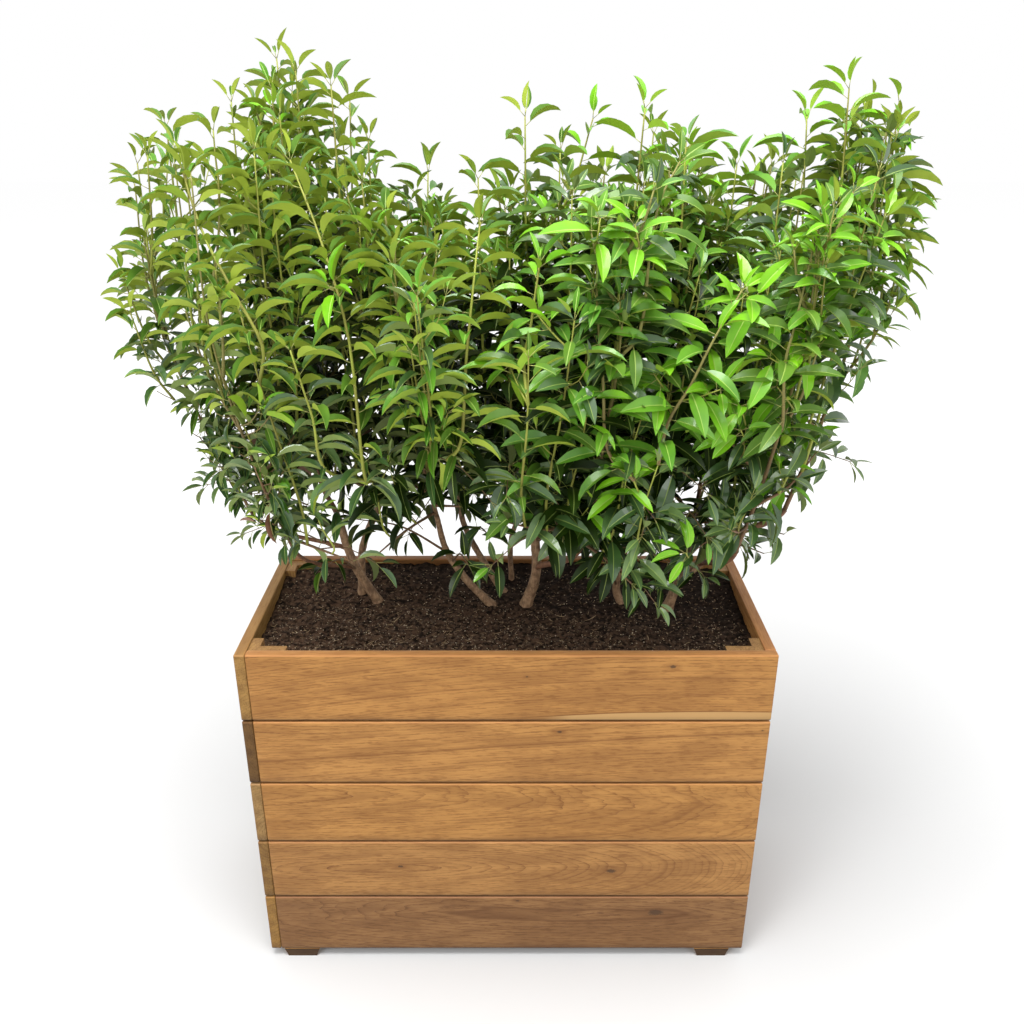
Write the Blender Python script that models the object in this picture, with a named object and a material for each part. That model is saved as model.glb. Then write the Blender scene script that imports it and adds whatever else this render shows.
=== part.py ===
"""Portuguese laurel, a clump of upright stems growing in a long hardwood planter.

The planter is five courses of boards on four corner posts. Eight stems rise from the soil,
the stronger ones fork into boughs, and every bough or stem ends where a mass of leafy
shoots begins. Units are metres, +Z is up, +X runs along the planter and -Y is its front.
The origin is on the ground under the planter's middle.
"""

import math
import random

import bmesh
import bpy
import numpy
from mathutils import Matrix, Vector
from mathutils.bvhtree import BVHTree

# Planter, outer sizes
PLANTER_LENGTH = 1.000
PLANTER_DEPTH = 0.420
FOOT_HEIGHT = 0.020
COURSES = 5
COURSE_HEIGHT = 0.145
COURSE_GAP = 0.0016
BOARD_THICKNESS = 0.0205
BOARD_EASE = 0.0025

# Touching pieces keep this gap
SEAT = 0.0003

# Feet, corner posts and floor
FOOT_TOP_WIDTH = 0.074
FOOT_BOTTOM_WIDTH = 0.060
FOOT_INSET = 0.028
POST_WIDE_LEG = 0.070
POST_NARROW_LEG = 0.048
POST_THICKNESS = 0.020
POST_BELOW_RIM = 0.004
FLOOR_THICKNESS = 0.018

# Soil
SOIL_BELOW_RIM = 0.030
RIM = FOOT_HEIGHT + COURSES * COURSE_HEIGHT
SOIL_TOP = RIM - SOIL_BELOW_RIM
STEM_CUT = SOIL_TOP + SEAT

# Crown, from its lowest leaves to its tallest tip
CROWN_REACH_X = 0.74
CROWN_REACH_Y = 0.40
# How far the crown spreads at each height, as a share of its full reach
SPREAD = ((0.78, 0.66), (0.98, 0.86), (1.20, 0.94), (1.34, 1.00), (1.54, 0.99), (1.66, 0.92), (1.80, 0.66))
# Height of the crown's top edge along its length
TOP_EDGE = (
    (-0.76, 1.42),
    (-0.64, 1.64),
    (-0.47, 1.71),
    (-0.42, 1.79),
    (-0.34, 1.79),
    (-0.28, 1.73),
    (-0.16, 1.56),
    (-0.03, 1.67),
    (0.24, 1.70),
    (0.41, 1.58),
    (0.56, 1.71),
    (0.66, 1.70),
    (0.76, 1.46),
)
# Height of the crown's underside along its length
UNDERSIDE = ((-0.70, 0.82), (-0.42, 0.79), (-0.15, 0.85), (0.05, 0.80), (0.30, 0.765), (0.70, 0.78))
# The crown's front and back stand this much lower than its middle, over this stretch of depth
SHOULDER_DROP = 0.05
SHOULDER_STARTS = 0.06
SHOULDER_ENDS = 0.22

# Stems: foot on the soil, points on the way, tip, radius above the root flare, radius at the tip
STEMS = {
    "stem_left_outer": (
        ((-0.268, 0.050), (-0.312, 0.036, 0.815), (-0.335, 0.042, 0.905)),
        (0.0095, 0.0080),
    ),
    "stem_left_inner": (
        ((-0.305, 0.078), (-0.300, 0.086, 0.820), (-0.262, 0.094, 0.915)),
        (0.0085, 0.0070),
    ),
    "stem_centre_lean": (
        ((-0.030, 0.034), (-0.086, 0.030, 0.782), (-0.122, 0.022, 0.852), (-0.134, -0.026, 0.945)),
        (0.0085, 0.0050),
    ),
    "stem_centre_back": (
        ((-0.004, 0.086), (-0.036, 0.094, 0.764), (-0.088, 0.110, 0.862), (-0.104, 0.136, 0.955)),
        (0.0075, 0.0048),
    ),
    "stem_centre_thin": (
        ((0.010, 0.132), (0.012, 0.140, 0.830), (0.070, 0.158, 0.955)),
        (0.0060, 0.0042),
    ),
    "stem_centre_main": (
        ((0.040, 0.036), (0.060, 0.034, 0.794), (0.055, 0.030, 0.895)),
        (0.0110, 0.0088),
    ),
    "stem_right_inner": (
        ((0.239, 0.036), (0.226, 0.036, 0.770), (0.258, 0.014, 0.940)),
        (0.0080, 0.0050),
    ),
    "stem_right_outer": (
        ((0.330, 0.020), (0.352, 0.020, 0.778), (0.395, 0.020, 0.826), (0.440, 0.020, 0.872)),
        (0.0100, 0.0082),
    ),
}
FLARE = 0.75
FLARE_HEIGHT = 0.014
STEM_STEPS = 3
STEM_SIDES = 8

# Boughs: the stem that bears each, how far up that stem, its tip, radius at its start and tip
BOUGHS = {
    "bough_left_peak": ("stem_left_outer", 1.00, (-0.362, 0.020, 1.000), (0.0078, 0.0054)),
    "bough_left_end": ("stem_left_outer", 0.66, (-0.500, 0.016, 0.930), (0.0062, 0.0048)),
    "bough_front_left": ("stem_left_outer", 0.42, (-0.395, -0.110, 0.915), (0.0056, 0.0046)),
    "bough_back_left": ("stem_left_inner", 1.00, (-0.350, 0.168, 0.965), (0.0068, 0.0050)),
    "bough_centre": ("stem_centre_main", 1.00, (0.010, 0.004, 0.985), (0.0086, 0.0056)),
    "bough_front_centre": ("stem_centre_main", 0.55, (0.140, -0.100, 0.915), (0.0060, 0.0048)),
    "bough_right_end": ("stem_right_outer", 1.00, (0.545, 0.012, 0.940), (0.0080, 0.0052)),
    "bough_front_right": ("stem_right_outer", 0.62, (0.425, -0.115, 0.910), (0.0058, 0.0046)),
    "bough_back_right": ("stem_right_outer", 0.40, (0.405, 0.150, 0.940), (0.0056, 0.0046)),
}
BOUGH_SWING = 0.25
BOUGH_RISE = 0.8
BOUGH_RINGS = 5
BOUGH_SIDES = 7

# Masses of foliage: the limb that bears each, and where over the plan its top stands
MASSES = {
    "foliage_left_end": ("bough_left_end", (-0.630, 0.000)),
    "foliage_left_peak": ("bough_left_peak", (-0.385, 0.010)),
    "foliage_front_left": ("bough_front_left", (-0.460, -0.230)),
    "foliage_back_left": ("bough_back_left", (-0.460, 0.230)),
    "foliage_front_centre_left": ("stem_centre_lean", (-0.165, -0.235)),
    "foliage_back_centre_left": ("stem_centre_back", (-0.150, 0.235)),
    "foliage_centre": ("bough_centre", (0.010, 0.000)),
    "foliage_front_centre_right": ("bough_front_centre", (0.180, -0.235)),
    "foliage_back_centre_right": ("stem_centre_thin", (0.170, 0.235)),
    "foliage_centre_right": ("stem_right_inner", (0.300, 0.000)),
    "foliage_front_right": ("bough_front_right", (0.470, -0.230)),
    "foliage_back_right": ("bough_back_right", (0.470, 0.230)),
    "foliage_right_end": ("bough_right_end", (0.635, 0.000)),
}

# How a mass grows
SEED = 41
GOLDEN_TURN = math.radians(137.5)
SPREAD_HEIGHT = 0.34
UPRIGHT_HEIGHT = 0.425
TIP_BELOW_EDGE = 0.058
SHOOTS = 9
FIRST_SHOOT = 0.02
LAST_SHOOT = 0.88
SHOOT_CROWDING = 1.5
LOW_SHOOT_TILT = math.radians(104.0)
HIGH_SHOOT_TILT = math.radians(30.0)
TILT_EASES_BY = 0.42
LOW_SHOOT_LENGTH = 0.260
HIGH_SHOOT_LENGTH = 0.160
SHORTEST_SHOOT = 0.060
SHOOT_SHRINK = 0.85
SHOOT_RADII = (0.0036, 0.0024)
LEADER_SHARE = 0.92
LEADER_TIP_RADIUS = 0.0026
LEADER_BARE = 0.08
SHOOT_BARE = 0.032
AZIMUTH_SLACK = 0.3
# Low shoots droop by the first value, shoots above this share of the leader rise by the second
SHOOT_RISE = (-0.25, 0.85)
RISES_FULLY_BY = 0.25
LEADER_STEPS = 2
LEADER_SIDES = 4
SHOOT_SIDES = 3

# Leaves, each with eight faces and larger than life so that few of them fill the crown
LEAF_LENGTH = 0.140
LEAF_SIZES = (1.0, 0.86, 0.72, 0.58, 0.44)
LEAF_WIDTH = 0.38
LEAF_ROOT = 0.0018
LEAF_KEEL = 0.020
LEAF_BEND = 0.46
LEAF_SPACING = 0.041
LEAF_ANGLE = math.radians(62.0)
LEAF_CLOSES = 0.45
TIP_LEAF_ANGLE = math.radians(14.0)
LEAF_DROOP = math.radians(30.0)
LEAF_TOSS = 0.35
MASS_MARGIN = 0.0012
LIMB_MARGIN = 0.0020

COLOURS = {
    "board": ((0.46, 0.25, 0.10), 0.55),
    "post": ((0.30, 0.16, 0.07), 0.70),
    "foot": ((0.38, 0.19, 0.08), 0.65),
    "floor": ((0.28, 0.15, 0.07), 0.75),
    "soil": ((0.025, 0.016, 0.011), 0.95),
    "stem": ((0.17, 0.095, 0.055), 0.80),
    "bough": ((0.20, 0.10, 0.055), 0.75),
    "foliage": ((0.07, 0.20, 0.03), 0.40),
}


def clear_scene():
    for old in list(bpy.data.objects):
        bpy.data.objects.remove(old, do_unlink=True)


def material_for(name, kind):
    """Give a sub-part its own Principled material in the colour of its kind."""
    colour, roughness = COLOURS[kind]
    material = bpy.data.materials.new(name)
    material.use_nodes = True
    shader = material.node_tree.nodes["Principled BSDF"]
    shader.inputs["Base Color"].default_value = (*colour, 1.0)
    shader.inputs["Roughness"].default_value = roughness
    shader.inputs["Metallic"].default_value = 0.0
    return material


def new_object(name, shape, kind=None):
    """Turn a bmesh with its faces pointing out into an object, and free the bmesh."""
    bmesh.ops.recalc_face_normals(shape, faces=shape.faces)
    mesh = bpy.data.meshes.new(name)
    shape.to_mesh(mesh)
    shape.free()
    thing = bpy.data.objects.new(name, mesh)
    bpy.context.scene.collection.objects.link(thing)
    if kind:
        mesh.materials.append(material_for(name, kind))
    return thing


def block(low, high):
    """A closed box between two corners."""
    shape = bmesh.new()
    bmesh.ops.create_cube(shape, size=1.0)
    low, high = Vector(low), Vector(high)
    bmesh.ops.scale(shape, vec=high - low, verts=shape.verts)
    bmesh.ops.translate(shape, vec=(low + high) / 2, verts=shape.verts)
    return shape


def prism(outline, bottom, top):
    """A closed upright prism over an outline of plan points."""
    shape = bmesh.new()
    face = shape.faces.new([shape.verts.new((x, y, bottom)) for x, y in outline])
    grown = bmesh.ops.extrude_face_region(shape, geom=[face])
    raised = [item for item in grown["geom"] if isinstance(item, bmesh.types.BMVert)]
    bmesh.ops.translate(shape, vec=(0, 0, top - bottom), verts=raised)
    return shape


def add_boards():
    """Lay five courses of four boards, each board running past one corner and butting at the other."""
    half_length = PLANTER_LENGTH / 2
    half_depth = PLANTER_DEPTH / 2
    inner_x = half_length - BOARD_THICKNESS
    inner_y = half_depth - BOARD_THICKNESS
    plans = {
        "front": ((-inner_x + SEAT, -half_depth), (half_length, -inner_y)),
        "right": ((inner_x, -inner_y + SEAT), (half_length, half_depth)),
        "back": ((-half_length, inner_y), (inner_x - SEAT, half_depth)),
        "left": ((-half_length, -half_depth), (-inner_x, inner_y - SEAT)),
    }
    for course in range(COURSES):
        bottom = FOOT_HEIGHT + course * COURSE_HEIGHT
        top = bottom + COURSE_HEIGHT - (COURSE_GAP if course < COURSES - 1 else 0.0)
        for side, (low, high) in plans.items():
            name = f"board_{side}_{course + 1}"
            board = new_object(name, block((*low, bottom), (*high, top)), "board")
            ease = board.modifiers.new("eased edges", "BEVEL")
            ease.width = BOARD_EASE
            ease.segments = 1


def corner_outline(side_x, side_y, spare):
    """Plan of an L-shaped corner post, grown by spare on the sides that face the soil."""
    outer_x = PLANTER_LENGTH / 2 - BOARD_THICKNESS - SEAT
    outer_y = PLANTER_DEPTH / 2 - BOARD_THICKNESS - SEAT
    wide = outer_x - POST_WIDE_LEG - spare
    narrow = outer_y - POST_NARROW_LEG - spare
    thick_x = outer_x - POST_THICKNESS - spare
    thick_y = outer_y - POST_THICKNESS - spare
    corner = (
        (wide, outer_y),
        (wide, thick_y),
        (thick_x, thick_y),
        (thick_x, narrow),
        (outer_x, narrow),
    )
    points = [(side_x * x, side_y * y) for x, y in corner]
    return points if side_x * side_y > 0 else points[::-1]


def add_posts_feet_and_floor():
    outer_x = PLANTER_LENGTH / 2 - BOARD_THICKNESS - SEAT
    outer_y = PLANTER_DEPTH / 2 - BOARD_THICKNESS - SEAT
    floor_top = FOOT_HEIGHT + FLOOR_THICKNESS
    new_object(
        "floor_board",
        block((-outer_x, -outer_y, FOOT_HEIGHT), (outer_x, outer_y, floor_top)),
        "floor",
    )
    for side_x, word_x in ((-1, "left"), (1, "right")):
        for side_y, word_y in ((-1, "front"), (1, "back")):
            outline = corner_outline(side_x, side_y, 0.0)
            outline.append((side_x * outer_x, side_y * outer_y))
            new_object(
                f"corner_post_{word_y}_{word_x}",
                prism(outline, floor_top + SEAT, RIM - POST_BELOW_RIM),
                "post",
            )
            add_foot(f"foot_{word_y}_{word_x}", side_x, side_y)


def add_foot(name, side_x, side_y):
    """A low block foot, wider at the top, set in a little from the planter's corner."""
    centre_x = side_x * (PLANTER_LENGTH / 2 - FOOT_INSET - FOOT_TOP_WIDTH / 2)
    centre_y = side_y * (PLANTER_DEPTH / 2 - FOOT_TOP_WIDTH / 2)
    shape = bmesh.new()
    bmesh.ops.create_cube(shape, size=1.0)
    for corner in shape.verts:
        width = FOOT_TOP_WIDTH if corner.co.z > 0 else FOOT_BOTTOM_WIDTH
        corner.co.x = centre_x + corner.co.x * width
        corner.co.y = centre_y + corner.co.y * FOOT_TOP_WIDTH
        corner.co.z = (FOOT_HEIGHT - SEAT) * (corner.co.z + 0.5)
    new_object(name, shape, "foot")


def add_soil():
    """Fill the planter to just below its rim, round the corner posts."""
    outline = []
    for side_x, side_y in ((1, 1), (-1, 1), (-1, -1), (1, -1)):
        corner = corner_outline(side_x, side_y, SEAT)
        outline += corner[::-1]
    new_object("soil", prism(outline, FOOT_HEIGHT + FLOOR_THICKNESS + SEAT, SOIL_TOP), "soil")


def smooth_path(points, steps):
    """A smooth curve through the points, as points and unit directions."""
    points = [Vector(point) for point in points]
    before = points[0] * 2 - points[1]
    after = points[-1] * 2 - points[-2]
    guide = [before, *points, after]
    path = []
    for a, b, c, d in zip(guide, guide[1:], guide[2:], guide[3:]):
        for step in range(steps):
            t = step / steps
            path.append(
                0.5
                * (
                    2 * b
                    + (c - a) * t
                    + (2 * a - 5 * b + 4 * c - d) * t * t
                    + (3 * b - a - 3 * c + d) * t * t * t
                )
            )
    path.append(points[-1])
    ends = [path[0], *path, path[-1]]
    directions = [(later - earlier).normalized() for earlier, later in zip(ends, ends[2:])]
    return path, directions


def between(places, share):
    """A place a share of the way along evenly numbered points or directions."""
    place = share * (len(places) - 1)
    index = min(int(place), len(places) - 2)
    return places[index].lerp(places[index + 1], place - index)


def tube(path, directions, radii, sides, flat_foot=False):
    """A closed tapering limb: rings of points square to the path, with a flat cap at each end."""
    shape = bmesh.new()
    across = directions[0].orthogonal().normalized()
    rings = []
    for index, (centre, direction, radius) in enumerate(zip(path, directions, radii)):
        if flat_foot and index == 0:
            direction = Vector((0, 0, 1))
        across = (across - direction * across.dot(direction)).normalized()
        other = direction.cross(across)
        rings.append(
            [
                shape.verts.new(
                    centre
                    + radius * math.cos(2 * math.pi * side / sides) * across
                    + radius * math.sin(2 * math.pi * side / sides) * other
                )
                for side in range(sides)
            ]
        )
    for lower, upper in zip(rings, rings[1:]):
        for side in range(sides):
            following = (side + 1) % sides
            shape.faces.new((lower[side], lower[following], upper[following], upper[side]))
    shape.faces.new(rings[0][::-1])
    shape.faces.new(rings[-1])
    return shape


def taper(path, first, last):
    """Radii that shrink evenly with the distance along the path."""
    lengths = [0.0]
    for a, b in zip(path, path[1:]):
        lengths.append(lengths[-1] + (b - a).length)
    return [first + (last - first) * length / lengths[-1] for length in lengths]


def stem_course(name):
    """Path, directions and radii of a stem, with its root flare."""
    (foot, *rest), (first, last) = STEMS[name]
    path, directions = smooth_path([(*foot, STEM_CUT), *rest], STEM_STEPS)
    radii = taper(path, first, last)
    flared = [
        radius * (1 + FLARE * math.exp(-(point.z - STEM_CUT) / FLARE_HEIGHT))
        for point, radius in zip(path, radii)
    ]
    return path, directions, flared


def bough_course(name):
    """Path, directions and radii of a bough, from its stem's tip or from inside its stem's side."""
    stem, share, tip, (first, last) = BOUGHS[name]
    path, directions, radii = stem_course(stem)
    tip = Vector(tip)
    if share == 1.0:
        start = path[-1] + SEAT * directions[-1]
        leaving = directions[-1]
    else:
        start = between(path, share)
        leaving = (tip - start).normalized()
    span = (tip - start).length
    arriving = (tip - start - BOUGH_SWING * span * Vector((leaving.x, leaving.y, 0))).normalized()
    arriving = (arriving + Vector((0, 0, BOUGH_RISE))).normalized()
    course = []
    for ring in range(BOUGH_RINGS + 1):
        t = ring / BOUGH_RINGS
        # Hermite curve that leaves along the stem and arrives turned upwards
        course.append(
            start * (2 * t**3 - 3 * t**2 + 1)
            + leaving * span * (t**3 - 2 * t**2 + t)
            + tip * (3 * t**2 - 2 * t**3)
            + arriving * span * (t**3 - t**2)
        )
    ends = [course[0], *course, course[-1]]
    turns = [(later - earlier).normalized() for earlier, later in zip(ends, ends[2:])]
    turns[0] = leaving
    turns[-1] = arriving
    return course, turns, taper(course, first, last)


def cut_away(thing, cutter):
    """Cut one closed shape out of another, apply the cut and remove the cutter."""
    cut = thing.modifiers.new("cut", "BOOLEAN")
    cut.operation = "DIFFERENCE"
    cut.solver = "EXACT"
    cut.object = cutter
    apply_modifiers(thing)
    bpy.data.objects.remove(cutter, do_unlink=True)


def apply_modifiers(thing):
    """Replace an object's mesh by what its modifiers make of it."""
    graph = bpy.context.evaluated_depsgraph_get()
    finished = bpy.data.meshes.new_from_object(thing.evaluated_get(graph))
    thing.modifiers.clear()
    thing.data = finished


def add_limbs():
    """Make the stems, then the boughs, each side bough cut to sit against its stem."""
    for name in STEMS:
        path, directions, radii = stem_course(name)
        stem = new_object(name, tube(path, directions, radii, STEM_SIDES, flat_foot=True), "stem")
        stem.data.shade_smooth()
    for name, (stem, share, _tip, _radii) in BOUGHS.items():
        bough = new_object(name, tube(*bough_course(name), BOUGH_SIDES), "bough")
        if share < 1.0:
            path, directions, radii = stem_course(stem)
            grown = [radius + SEAT for radius in radii]
            cutter = tube(path, directions, grown, STEM_SIDES, flat_foot=True)
            cut_away(bough, new_object("saddle cutter", cutter))
        bough.data.shade_smooth()


def limb_tree(limbs):
    """A search tree of the limbs, grown a little, that shoots and leaves have to miss."""
    points = []
    faces = []
    for limb in limbs:
        offset = len(points)
        points += [v.co + LIMB_MARGIN * v.normal for v in limb.data.vertices]
        faces += [[offset + corner for corner in face.vertices] for face in limb.data.polygons]
    return BVHTree.FromPolygons(points, faces)


def mass_base(name):
    """Where a mass's stem starts, 0.3 mm past its limb's tip, and the way it sets out."""
    limb = MASSES[name][0]
    path, directions, radii = stem_course(limb) if limb in STEMS else bough_course(limb)
    return path[-1] + SEAT * directions[-1], directions[-1], radii[-1]


def top_edge(x, y):
    """Height of the crown's top over a place in plan."""
    drop = SHOULDER_DROP * numpy.interp(abs(y), (SHOULDER_STARTS, SHOULDER_ENDS), (0.0, 1.0))
    return numpy.interp(x, *zip(*TOP_EDGE)) - drop


def top_of(name):
    x, y = MASSES[name][1]
    return Vector((x, y, top_edge(x, y) - TIP_BELOW_EDGE))


def mass_axis_at(name, height):
    """Plan position of a mass's axis: it spreads from its base, then stands upright."""
    base, _direction, _radius = mass_base(name)
    top = top_of(name)
    t = min(1.0, max(0.0, (height - base.z) / SPREAD_HEIGHT))
    return (1 - t) * base.to_2d() + t * top.to_2d()


def inside_crown(point):
    share = numpy.interp(point.z, *zip(*SPREAD))
    across = (abs(point.x) / (CROWN_REACH_X * share)) ** 3 + (abs(point.y) / (CROWN_REACH_Y * share)) ** 3
    underside = numpy.interp(point.x, *zip(*UNDERSIDE))
    return across < 1.0 and underside < point.z < top_edge(point.x, point.y)


def inside_mass(name, point):
    """True where a point is in the crown and nearer to this mass's axis than to any other."""
    if not inside_crown(point):
        return False
    plan = point.to_2d()
    own = (plan - mass_axis_at(name, point.z)).length
    return all(
        own + MASS_MARGIN < (plan - mass_axis_at(other, point.z)).length
        for other in MASSES
        if other != name
    )


def leaf(root, outward, face_up, length):
    """A leaf of eight faces: a root sunk in the shoot, a blade that arches over, and a keel below."""
    across = outward.cross(face_up).normalized()
    upright = across.cross(outward).normalized()
    drooping = (math.cos(LEAF_DROOP) * outward - math.sin(LEAF_DROOP) * upright).normalized()
    bend = root + LEAF_BEND * length * outward
    half_width = LEAF_WIDTH / 2 * length
    shape = bmesh.new()
    above, below, left, right, tip, keel = (
        shape.verts.new(place)
        for place in (
            root + LEAF_ROOT / 2 * upright,
            root - LEAF_ROOT / 2 * upright,
            bend + half_width * across,
            bend - half_width * across,
            bend + (1 - LEAF_BEND) * length * drooping,
            bend - LEAF_KEEL * length * upright,
        )
    )
    for corners in (
        (above, left, right),
        (left, tip, right),
        (above, below, left),
        (above, right, below),
        (below, keel, left),
        (below, right, keel),
        (keel, tip, left),
        (keel, right, tip),
    ):
        shape.faces.new(corners)
    return shape


def turned(direction, tilt, azimuth):
    """A direction tilted away from another by an angle, round to an azimuth."""
    side = direction.orthogonal().normalized()
    side = Matrix.Rotation(azimuth, 3, direction) @ side
    return (math.cos(tilt) * direction + math.sin(tilt) * side).normalized()


def leader_course(name):
    """The stem of a mass: it sets out along its limb, swings over and rises to the top."""
    base, direction, radius = mass_base(name)
    top = top_of(name)
    elbow_height = base.z + SPREAD_HEIGHT / 2
    elbow = Vector((*mass_axis_at(name, elbow_height), elbow_height))
    shoulder = Vector((*top.to_2d(), base.z + UPRIGHT_HEIGHT))
    path, directions = smooth_path([base, elbow, shoulder, top], LEADER_STEPS)
    directions[0] = direction
    return path, directions, taper(path, radius * LEADER_SHARE, LEADER_TIP_RADIUS)


def shoot_course(root, leaving, length, share):
    """A side shoot: a low one droops a little, and the others curve upwards."""
    rise = numpy.interp(share, (0.0, RISES_FULLY_BY), SHOOT_RISE)
    rising = (leaving + Vector((0, 0, rise))).normalized()
    middle = root + 0.5 * length * leaving
    path = [root, middle, middle + 0.5 * length * rising]
    return path, [leaving, (leaving + rising).normalized(), rising]


def grow_shoots(name, leader, draw, limbs):
    """Side shoots up a mass's stem, each the longest that stays in the mass and misses the limbs."""
    top = leader[-1]
    turn = math.atan2(top.y, top.x) + draw.uniform(-AZIMUTH_SLACK, AZIMUTH_SLACK)
    for step in range(SHOOTS):
        share = FIRST_SHOOT + (LAST_SHOOT - FIRST_SHOOT) * (step / (SHOOTS - 1)) ** SHOOT_CROWDING
        root = between(leader, share)
        tilt = numpy.interp(share, (0.0, TILT_EASES_BY), (LOW_SHOOT_TILT, HIGH_SHOOT_TILT))
        azimuth = turn + GOLDEN_TURN * step
        across = Vector((math.cos(azimuth), math.sin(azimuth), 0))
        leaving = math.sin(tilt) * across + Vector((0, 0, math.cos(tilt)))
        length = LOW_SHOOT_LENGTH + (HIGH_SHOOT_LENGTH - LOW_SHOOT_LENGTH) * share
        while length > SHORTEST_SHOOT:
            path, directions = shoot_course(root, leaving, length, share)
            shape = tube(path, directions, taper(path, *SHOOT_RADII), SHOOT_SIDES)
            outer = [v.co for v in shape.verts if (v.co - root).length > SHORTEST_SHOOT / 3]
            inside = all(inside_mass(name, point) for point in outer)
            if inside and not limbs.overlap(BVHTree.FromBMesh(shape)):
                yield shape, path, directions
                break
            shape.free()
            length *= SHOOT_SHRINK


def leaf_places(path, directions, bare, draw):
    """Roots and outward directions of leaves that alternate up a shoot, with one at its tip."""
    total = sum((b - a).length for a, b in zip(path, path[1:]))
    count = max(1, int((total - bare) / LEAF_SPACING))
    turn = draw.uniform(0, 2 * math.pi)
    for step in range(count):
        share = (bare + (total - bare) * step / count) / total
        opening = LEAF_ANGLE * (1.0 - LEAF_CLOSES * share)
        along = between(directions, share).normalized()
        yield between(path, share), turned(along, opening, turn + GOLDEN_TURN * step)
    yield path[-1] - LEAF_ROOT * directions[-1], turned(directions[-1], TIP_LEAF_ANGLE, turn)


def grow_leaves(name, places, draw, limbs):
    """Leaves at the places given, each the largest that stays in the mass and touches no limb or leaf."""
    taken = []
    for root, outward in places:
        face_up = Vector((LEAF_TOSS * draw.uniform(-1, 1), LEAF_TOSS * draw.uniform(-1, 1), 1))
        for size in LEAF_SIZES:
            shape = leaf(root, outward, face_up, LEAF_LENGTH * size)
            blade = BVHTree.FromBMesh(shape)
            inside = all(inside_mass(name, v.co) for v in shape.verts)
            if inside and not limbs.overlap(blade) and not any(blade.overlap(other) for other in taken):
                taken.append(blade)
                yield shape
                break
            shape.free()


def add_mass(name, number, limbs):
    """Grow one mass of foliage and join its stem, shoots and leaves into one closed solid."""
    draw = random.Random(SEED + number)
    leader, directions, radii = leader_course(name)
    shoots = list(grow_shoots(name, leader, draw, limbs))
    places = list(leaf_places(leader, directions, LEADER_BARE, draw))
    for _shape, path, turns in shoots:
        places += leaf_places(path, turns, SHOOT_BARE, draw)
    leaves = list(grow_leaves(name, places, draw, limbs))
    twigs = [shape for shape, _path, _turns in shoots]
    join_mass(name, [tube(leader, directions, radii, LEADER_SIDES), *twigs, *leaves])


def join_mass(name, shapes):
    """Fuse the mass's pieces with one union over a collection, and remove the pieces."""
    mass = new_object(name, shapes[0], "foliage")
    pieces = bpy.data.collections.new(name + " pieces")
    bpy.context.scene.collection.children.link(pieces)
    for number, shape in enumerate(shapes[1:]):
        piece = new_object(f"piece {number}", shape)
        bpy.context.scene.collection.objects.unlink(piece)
        pieces.objects.link(piece)
    union = mass.modifiers.new("union", "BOOLEAN")
    union.operation = "UNION"
    union.solver = "EXACT"
    union.operand_type = "COLLECTION"
    union.collection = pieces
    apply_modifiers(mass)
    for piece in list(pieces.objects):
        bpy.data.objects.remove(piece, do_unlink=True)
    bpy.data.collections.remove(pieces)


def main():
    clear_scene()
    add_boards()
    add_posts_feet_and_floor()
    add_soil()
    add_limbs()
    limbs = limb_tree([bpy.data.objects[name] for name in [*STEMS, *BOUGHS]])
    for number, name in enumerate(MASSES):
        add_mass(name, number, limbs)


main()
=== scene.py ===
# %% [markdown]
# # A Portuguese laurel in a hardwood planter
#
# The plain model is a row of solids: boards, posts, feet, soil, stems, boughs and masses of
# foliage. This lesson dresses it. It keeps every solid in its place, puts finer meshes over the
# ones that show, and gives each surface a finish made of nodes.
#
# The model is loaded first, because every later piece takes its place from it.

# %% Load the plain model
import collections
import functools
import math
import random

import bmesh
import bpy
import numpy
from mathutils import Matrix, Vector, noise
from mathutils.bvhtree import BVHTree


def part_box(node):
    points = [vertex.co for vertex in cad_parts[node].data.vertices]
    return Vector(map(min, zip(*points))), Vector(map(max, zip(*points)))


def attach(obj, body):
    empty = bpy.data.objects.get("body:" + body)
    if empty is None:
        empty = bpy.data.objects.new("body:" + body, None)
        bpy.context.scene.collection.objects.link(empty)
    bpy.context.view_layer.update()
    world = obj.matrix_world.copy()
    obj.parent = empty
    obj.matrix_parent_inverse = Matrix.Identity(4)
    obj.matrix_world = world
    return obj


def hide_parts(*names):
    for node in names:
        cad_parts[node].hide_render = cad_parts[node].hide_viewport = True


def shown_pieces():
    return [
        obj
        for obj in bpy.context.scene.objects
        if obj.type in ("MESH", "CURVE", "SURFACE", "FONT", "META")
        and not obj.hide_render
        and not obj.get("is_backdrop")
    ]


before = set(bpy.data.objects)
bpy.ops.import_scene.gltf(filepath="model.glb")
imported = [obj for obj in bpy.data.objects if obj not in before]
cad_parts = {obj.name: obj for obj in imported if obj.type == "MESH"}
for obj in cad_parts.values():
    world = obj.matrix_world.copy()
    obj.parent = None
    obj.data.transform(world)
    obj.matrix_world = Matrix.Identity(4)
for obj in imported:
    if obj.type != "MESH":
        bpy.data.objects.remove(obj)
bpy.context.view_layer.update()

# %% [markdown]
# ## Camera
#
# The picture was taken by someone standing in front of the planter, with the lens a little
# under eye height and tilted down. The planter's edges give the lens and the tilt: its upright
# edges meet far below and its long edges stay level.

# %% Camera
CAMERA_PLACE = (0.011, -1.722, 1.684)
CAMERA_LOOKS_DOWN = math.radians(23.35)
LENS_MM = 33.85


def new_object(name, data):
    made = bpy.data.objects.new(name, data)
    bpy.context.scene.collection.objects.link(made)
    return made


camera = new_object("camera", bpy.data.cameras.new("camera"))
camera.data.lens = LENS_MM
camera.data.sensor_width = 36.0
camera.location = CAMERA_PLACE
camera.rotation_euler = (math.pi / 2 - CAMERA_LOOKS_DOWN, 0.0, 0.0)
bpy.context.scene.camera = camera

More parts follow.
